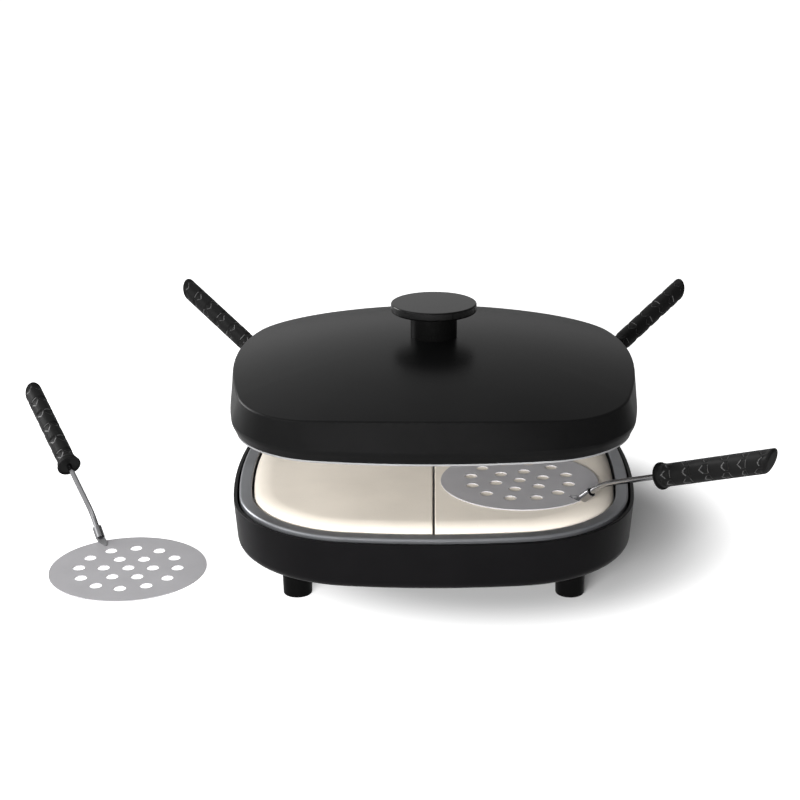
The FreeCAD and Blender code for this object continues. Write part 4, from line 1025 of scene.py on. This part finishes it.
@dataclass
class Lid:
    """The domed lid with its liner and knob.

    The liner's middle is a share of the plan's corner radius, past which its ceiling would
    cross itself. Its roundings are at its ceiling inside, at its rim's two edges and at its
    ceiling outside. The knob's are below and above.
    """

    height: float = 125.2
    draft: float = 3.6
    edge_rise: float = 7.5
    edge_tuck: float = 3.7
    edge_round: float = 10.0
    apex: float = 176.8
    dome_radius: float = 711.0
    sheet: float = 1.6
    crease_round: float = 1.3
    dome_rings: int = 12
    wall_rise: float = 30.0
    liner_gap: float = 0.2
    liner_sheet: float = 0.8
    liner_rim: float = 1.6
    liner_rim_width: float = 6.0
    # The height over the shell's edge up to which the rim gets its painted shade.
    shaded_rim_reach: float = 0.1
    liner_ceiling: float = 18.0
    liner_middle: float = 0.9
    liner_rounds: tuple[float, float, float, float] = (2.0, 0.3, 0.4, 2.4)
    knob_radius: float = 34.3
    knob_height: float = 7.0
    knob_rounds: tuple[float, float] = (1.5, 1.3)
    neck_radius: float = 18.6
    neck_height: float = 20.4
    neck_wall: float = 3.4
    neck_top: float = 3.0
    screw_bore: float = 2.2

    def _dome(self, place: Vector) -> float:
        """Return the dome's height over a place in plan."""
        reach = self.dome_radius**2 - place.x**2 - place.y**2
        return self.apex - self.dome_radius + math.sqrt(reach)

    def _gather_walls(self, piece: Workpiece) -> None:
        """Lean the wall in, so that its upper edge follows the crease under the dome.

        Args:
            piece: The shell's wall.
        """
        widest, crease = LID_PLAN.places(), CREASE_PLAN.places()
        top = self.height + self.wall_rise
        for vertex in piece.object.data.vertices:
            place = vertex.co / MM
            if place.z < top - self.sheet:
                continue
            nearest = min(range(len(widest)), key=lambda index: (
                widest[index].xy - place.xy).length)
            place = crease[nearest].copy()
            place.z = self._dome(place)
            vertex.co = place * MM

    def shell(self) -> None:
        """Model the black shell: a drafted wall that meets a shallow dome in a soft crease."""
        piece = Workpiece("lid_canopy")
        wall = rounded([(LID_PLAN.half - self.edge_tuck, self.height),
                        (LID_PLAN.half, self.height + self.edge_rise, self.edge_round),
                        (LID_PLAN.half, self.height + self.wall_rise)])
        piece.draw([(across, 0, up) for across, up in wall])
        piece.follow(LID_PLAN)
        self._gather_walls(piece)
        wall_count = len(piece.object.data.vertices)
        piece.pick(lambda place: place.z > self.height + self.wall_rise / 2)
        reach = 1.0
        with piece.editing():
            for ring in range(1, self.dome_rings):
                wanted = 1 - ring / self.dome_rings
                bpy.ops.mesh.extrude_region_move()
                bpy.ops.transform.resize(value=(wanted / reach, wanted / reach, 1),
                                         center_override=(0, 0, 0))
                reach = wanted
            bpy.ops.mesh.edge_face_add()
        for vertex in piece.object.data.vertices[wall_count:]:
            vertex.co.z = self._dome(vertex.co / MM) * MM
        piece.outwards()
        piece.bevel(self.crease_round, segments=4)
        piece.modify("SOLIDIFY", thickness=self.sheet * MM, offset=-1.0, use_even_offset=True)
        piece.dress(LID_PAINT, "lid", ["lid_shell"], "lid_paint")

    def liner(self) -> None:
        """Model the bright pan under the shell, with its flat rim, which is painted darker as
        shade.
        """
        lean = math.tan(math.radians(self.draft))
        rim = self.edge_tuck + self.liner_gap
        wall = rim + self.sheet
        low, ceiling = self.height - self.liner_rim, self.height + self.liner_ceiling
        top = ceiling + self.liner_sheet
        middle = LID_PLAN.corner_radius * self.liner_middle
        inner_round, lip_round, rim_round, outer_round = self.liner_rounds
        piece = ring_round("lid_pan", LID_PLAN, rounded([
            (middle, ceiling),
            (wall + self.liner_sheet + self.liner_ceiling * lean, ceiling, inner_round),
            (wall + self.liner_sheet, self.height), (wall + self.liner_rim_width, self.height),
            (wall + self.liner_rim_width, low, lip_round), (rim, low, rim_round),
            (rim, self.height), (wall, self.height),
            (wall + (self.liner_ceiling + self.liner_sheet) * lean, top, outer_round),
            (middle, top),
        ]))
        piece.dress(LINER_SHEET, "lid", ["lid_liner"], "liner_metal")
        # The rim below the shell's edge gets the darker copy of the sheet: painted shade.
        piece.tint(PAINTED_RIM_SHADE, piece.faces_where(
            lambda place: place.z < self.height + self.shaded_rim_reach))

    def knob(self) -> None:
        """Model the flat round knob on its stem."""
        low = self.apex + self.neck_height
        high = low + self.knob_height
        below, above = self.knob_rounds
        cap = lathe("knob_button", rounded([
            (0.0, low), (self.knob_radius, low, below), (self.knob_radius, high, above),
            (0.0, high),
        ]), steps=96)
        cap.dress(KNOB_PLASTIC, "lid", ["knob_cap"], "knob_plastic")
        foot = self.apex - self.dome_radius + math.sqrt(
            self.dome_radius**2 - self.neck_radius**2)
        inner, under = self.neck_radius - self.neck_wall, low - self.neck_top
        stem = lathe("knob_stem", [
            (inner, foot), (self.neck_radius, foot), (self.neck_radius, low),
            (self.screw_bore, low), (self.screw_bore, under), (inner, under), (inner, foot),
        ], steps=72)
        stem.dress(NECK_PLASTIC, "lid", ["knob_neck"], "knob_plastic")

    def build(self) -> None:
        """Model every piece of the lid."""
        self.shell()
        self.liner()
        self.knob()


@dataclass(frozen=True)
class Mark:
    """An arrow head in the grip's relief: its place in its row, its point's reach and its length.

    The bow is how hollow its sides are, and a closed one has a painted highlight on its rear edge
    too.
    """

    place: float
    point: float
    bow: float
    length: float
    closed: bool


@dataclass
class Spatula:
    """A perforated disc on a wire with a grip. It is modelled with its handle along +X.

    The mark's slopes are the lengths in which it gets deep from its front and its rear edge,
    and the share of its width in which it does so from its sides.
    """

    name: str
    place: Point
    turn: float
    rise: float
    disc_radius: float = 62.5
    sheet: float = 0.8
    hole: float = 4.9
    hole_rings: tuple[tuple[float, int], ...] = ((0.0, 1), (19.72, 6), (39.44, 12))
    disc_edge: float = 0.14
    wire_radius: float = 2.2
    socket_place: float = 64.2
    socket_height: float = 3.0
    socket_radius: float = 3.8
    socket_length: float = 10.5
    socket_lip: float = 3.1
    socket_mouth: float = 3.0
    bore: float = 2.25
    strap_tip: float = 51.0
    strap_low: float = 62.0
    strap_end: float = 68.0
    strap_bend: float = 59.0
    strap_sheet: float = 1.2
    strap_half: float = 3.2
    strap_taper: float = 0.3
    strap_edge: float = 0.25
    knee: float = 82.3
    knee_height: float = 19.2
    knee_bend: float = 52.0
    grip_start: float = 136.0
    grip_length: float = 105.0
    grip_half: tuple[float, float] = (7.8, 8.6)
    grip_slant: float = 12.0
    slant_from: float = 70.0
    grip_core: float = 9.0
    grip_blend: float = 1.5
    grip_rings: int = 158
    ring_gap: float = 0.6
    tip_round: float = 3.0
    tip_steps: int = 8
    tip_middle: float = 2.5
    collar_radius: float = 10.2
    collar_length: float = 4.6
    collar_face: float = 8.6
    collar_hollow: float = 0.5
    collar_rounds: tuple[float, float, float] = (0.3, 0.2, 0.9)
    wire_in_grip: float = 60.0
    mark_rows: int = 6
    mark_turn: float = 0.25
    mark_half: float = 0.46
    mark_start: float = 5.3
    mark_pitch: float = 34.8
    marks: tuple[Mark, ...] = (Mark(0.0, 4.4, 1.0, 8.8, True), Mark(20.2, 3.6, 1.5, 6.6, False))
    mark_depth: float = 0.6
    mark_slopes: tuple[float, float, float] = (0.5, 1.2, 0.12)
    # Where the painted highlight lies along the marks' edges.
    highlight_width: float = 0.62
    highlight_share: float = 0.86
    highlight_ends: tuple[float, float] = (1.0, 6.0)

    @property
    def _tilt(self) -> float:
        """Return how steeply the wire leaves the disc, in radians."""
        return math.atan2(self.knee_height - self.socket_height, self.knee - self.socket_place)

    def _set_down(self, piece: Workpiece, node: str, finish: Finish, slot: str) -> None:
        """Put a piece where the spatula lies and dress it.

        Args:
            piece: The piece, modelled about the disc's centre.
            node: The kind of node that it stands for.
            finish: Its surface.
            slot: The record's material slot.
        """
        piece.place(Matrix.Translation(Vector(self.place) * MM)
                    @ Matrix.Rotation(math.radians(self.turn), 4, "Z"))
        piece.dress(finish, f"spatula_{self.name}", [f"{node}_{self.name}"], slot,
                    turn=self.turn)

    def disc(self) -> None:
        """Model the thin disc and cut its holes."""
        piece = lathe(f"disc_{self.name}", [(self.disc_radius, 0), (self.disc_radius, self.sheet)],
                      steps=120)
        for ring, count in self.hole_rings:
            holes = lathe("holes", [(self.hole, -self.sheet), (self.hole, 2 * self.sheet)],
                          steps=32)
            holes.place(Matrix.Translation((ring * MM, 0, 0)))
            if count > 1:
                with holes.editing(everything=True):
                    bpy.ops.mesh.spin(steps=count - 1, angle=FULL_TURN * (count - 1) / count,
                                      center=(0, 0, 0), axis=Way.Z.value, dupli=True)
            piece.combine(holes)
        piece.bevel(self.disc_edge, segments=2)
        self._set_down(piece, "blade", DISC_STEEL, "blade_steel")

    def ferrule(self) -> None:
        """Model the short tube that grips the wire, on a strap that tapers on to the disc."""
        piece = lathe(f"ferrule_{self.name}", rounded([
            (self.bore, 0), (self.socket_radius, 0, 0.4),
            (self.socket_radius, self.socket_length, 0.3),
            (self.socket_lip, self.socket_length, 0.25),
            (self.bore, self.socket_length - self.socket_mouth), (self.bore, 0),
        ]), steps=40)
        piece.place(Matrix.Translation(Vector((self.socket_place, 0, self.socket_height)) * MM)
                    @ Matrix.Rotation(FULL_TURN / 4 - self._tilt, 4, "Y"))
        top = self.socket_height + self.socket_radius / 2
        strap = slab("strap", [
            (self.strap_tip, self.sheet), (self.strap_low, self.sheet),
            (self.strap_end, self.socket_height), (self.strap_end, top),
            (self.socket_place, top), (self.strap_bend, self.sheet + self.strap_sheet),
            (self.strap_tip, self.sheet + self.strap_sheet / 2),
        ], self.strap_half)
        strap.pick(lambda place: place.x < self.strap_tip + 1)
        with strap.editing():
            bpy.ops.transform.resize(value=(1, self.strap_taper, 1), center_override=(0, 0, 0))
        strap.bevel(self.strap_edge, segments=2)
        piece.combine(strap, Joining.ADD)
        self._set_down(piece, "socket", WIRE_STEEL, "blade_steel")

    def rod(self) -> None:
        """Model the wire: out of the ferrule, round a wide knee and up into the grip."""
        rise = math.radians(self.rise)
        bend = self._tilt - rise
        reach = self.knee_bend * math.tan(bend / 2)
        first = math.hypot(self.knee - self.socket_place,
                           self.knee_height - self.socket_height) - reach
        second = (self.grip_start - self.knee) / math.cos(rise) + self.wire_in_grip - reach
        piece = wire(f"rod_wire_{self.name}", self.wire_radius,
                     (self.socket_place, 0, self.socket_height),
                     (math.cos(self._tilt), 0, math.sin(self._tilt)),
                     [Run(first), Bend(self.knee_bend, math.degrees(bend), Way.Y.value),
                      Run(second)])
        self._set_down(piece, "rod", WIRE_STEEL, "rod_steel")

    def _marks_at(self, along: float, around: float) -> Iterator[tuple[float, float, float, bool]]:
        """Find a place in the grip's relief: rows of arrow heads, every second row shifted.

        Args:
            along: The place from the collar's face.
            around: The angle round the grip, in radians, from its right side up.

        Returns:
            For each mark that may hold it, the way in from its front edge, the mark's length
            there, how far to its side the place is, from 0 to 1, and whether it is closed.
        """
        for row in range(self.mark_rows):
            away = around - row * FULL_TURN / self.mark_rows + self.mark_turn
            side = abs((away + math.pi) % FULL_TURN - math.pi) / self.mark_half
            if side > 1:
                continue
            shift = (row + 1) % 2 * self.mark_pitch / 2
            for mark in self.marks:
                phase = (along - self.mark_start - mark.place - shift) % self.mark_pitch
                start = mark.point * side ** mark.bow
                yield phase - start, mark.length - start, side, mark.closed

    def _press(self, along: float, around: float) -> float:
        """Measure the grip's relief at a place.

        Args:
            along: The place from the collar's face.
            around: The angle round the grip, in radians.

        Returns:
            The depth of the relief.
        """
        front, rear, flank = self.mark_slopes
        depth = 0.0
        for inside, length, side, _ in self._marks_at(along, around):
            if 0 < inside < length:
                edge = min(inside / front, 1.0) * min((length - inside) / rear, 1.0)
                depth = max(depth, edge * min((1 - side) / flank, 1.0))
        return self.mark_depth * depth

    def _on_painted_highlight(self, place: Vector) -> bool:
        """Tell whether a place on the turned grip is on a mark's thin edge, where a highlight is
        painted.

        Args:
            place: The place.

        Returns:
            Whether it is.
        """
        collar_end, tip_end = self.highlight_ends
        if not self.collar_length + collar_end < place.x < self.grip_length - tip_end:
            return False
        around = math.atan2(place.z, place.y)
        return any(side < self.highlight_share and (
            0 < inside < self.highlight_width
            or closed and -self.highlight_width < inside - length < 0)
            for inside, length, side, closed in self._marks_at(place.x, around))

    def _shape_grip(self, piece: Workpiece) -> None:
        """Press the turned grip into its oval, slant its end and carve its relief.

        Args:
            piece: The turned grip.
        """
        wide, high = self.grip_half
        start, end = self.collar_length + self.grip_blend, self.grip_length - self.tip_round
        for vertex in piece.object.data.vertices:
            along, across, up = vertex.co / MM
            radius, around = math.hypot(across, up), math.atan2(up, across)
            if along < self.collar_length + 0.01 or radius < WELD:
                continue
            oval = wide * high / math.hypot(high * math.cos(around), wide * math.sin(around))
            share = min(1.0, (along - self.collar_length) / self.grip_blend)
            size = radius / wide * (oval * share + self.grip_core * (1 - share))
            if start < along < end:
                size -= self._press(along, around)
            across, up = size * math.cos(around), size * math.sin(around)
            slanted = (along - self.slant_from) / (self.grip_length - self.slant_from)
            along -= self.grip_slant * (0.5 - up / (2 * high)) * min(1.0, max(0.0, slanted))
            vertex.co = Vector((along, across, up)) * MM

    def grip(self) -> None:
        """Model the black grip with its cupped collar, and paint a highlight on its marks' edges.
        """
        face_round, step_round, outer_round = self.collar_rounds
        collar = [(self.bore, self.collar_hollow)] + rounded([
            (self.collar_face, self.collar_hollow, face_round), (self.grip_core, 0.0, step_round),
            (self.collar_radius, 0.0, outer_round),
            (self.collar_radius, self.collar_length, outer_round)], steps=4)[:-1]
        collar.append((self.grip_core, self.collar_length))
        wide, first = self.grip_half[0], self.collar_length + self.ring_gap / 2
        body = [(wide, first + self.ring_gap * ring) for ring in range(self.grip_rings)]
        tip = [(wide - self.tip_round * (1 - math.cos(angle)),
                self.grip_length - self.tip_round + self.tip_round * math.sin(angle))
               for angle in (step / self.tip_steps * FULL_TURN / 4
                             for step in range(self.tip_steps + 1))]
        profile = collar + body + tip + [(self.tip_middle, self.grip_length)]
        piece = Workpiece(f"grip_{self.name}")
        piece.draw([(along, 0, radius) for radius, along in profile])
        piece.turn(Way.X.value, steps=88)
        piece.fill()
        piece.outwards()
        # The faces along the marks' edges, which get the painted highlight.
        edges = piece.faces_where(self._on_painted_highlight)
        self._shape_grip(piece)
        rise = math.radians(self.rise)
        height = self.knee_height + (self.grip_start - self.knee) * math.tan(rise)
        piece.place(Matrix.Translation(Vector((self.grip_start, 0, height)) * MM)
                    @ Matrix.Rotation(-rise, 4, "Y"))
        self._set_down(piece, "handle", GRIP_PLASTIC, "grip_plastic")
        # Paint the highlight on the marks' edges.
        piece.tint(PAINTED_GRIP_HIGHLIGHT, edges)

    def build(self) -> None:
        """Model every piece of the spatula."""
        self.disc()
        self.ferrule()
        self.rod()
        self.grip()


ON_STONE = 70.3
SPATULAS = (
    Spatula("front_right", (68.1, -48.8, ON_STONE), turn=-43.0, rise=21.0),
    Spatula("rear_right", (63.0, 78.0, ON_STONE), turn=42.6, rise=24.6),
    Spatula("rear_left", (-63.0, 78.0, ON_STONE), turn=137.4, rise=24.6),
    Spatula("loose", (-244.9, -61.3, 0.0), turn=120.1, rise=24.6),
)

KEPT_NODES = {
    BRACKET_PAINT: ("hinge_bracket_left", "hinge_bracket_right", "hinge_arm_left",
                    "hinge_arm_right"),
    COVER_SHEET: ("bottom_cover",),
    SCREW_STEEL: ("foot_screws", "cover_screws", "tray_screws", "tray_standoffs", "lid_posts",
                  "liner_screws", "knob_screw", "hinge_bracket_screws", "hinge_arm_screws",
                  "hinge_pin_left", "hinge_pin_right"),
    SHIELD_SHEET: ("heat_shield", "lower_element_clips", "upper_element_clips", "thermostat"),
    ELEMENT_SHEATH: ("lower_element", "upper_element"),
    CERAMIC: ("terminal_block",),
    GLAND_RUBBER: ("cord_gland",),
    FOOT_PLASTIC: ("switch_frame", "switch_rocker"),
}


def dress_kept_nodes() -> None:
    """Give the frame's own nodes that stay in sight their finishes."""
    for finish, nodes in KEPT_NODES.items():
        for node in nodes:
            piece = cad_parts[node]
            piece.data.materials.clear()
            piece.data.materials.append(finish.material())
            LOG.info("%s: kept from the frame", node)


def main() -> None:
    """Build the studio and every sub-assembly."""
    logging.basicConfig(level=logging.INFO, format="%(message)s")
    Studio().build()
    Base().build()
    Stones().build()
    Lid().build()
    for spatula in SPATULAS:
        spatula.build()
    dress_kept_nodes()


if __name__ == "__main__":
    main()
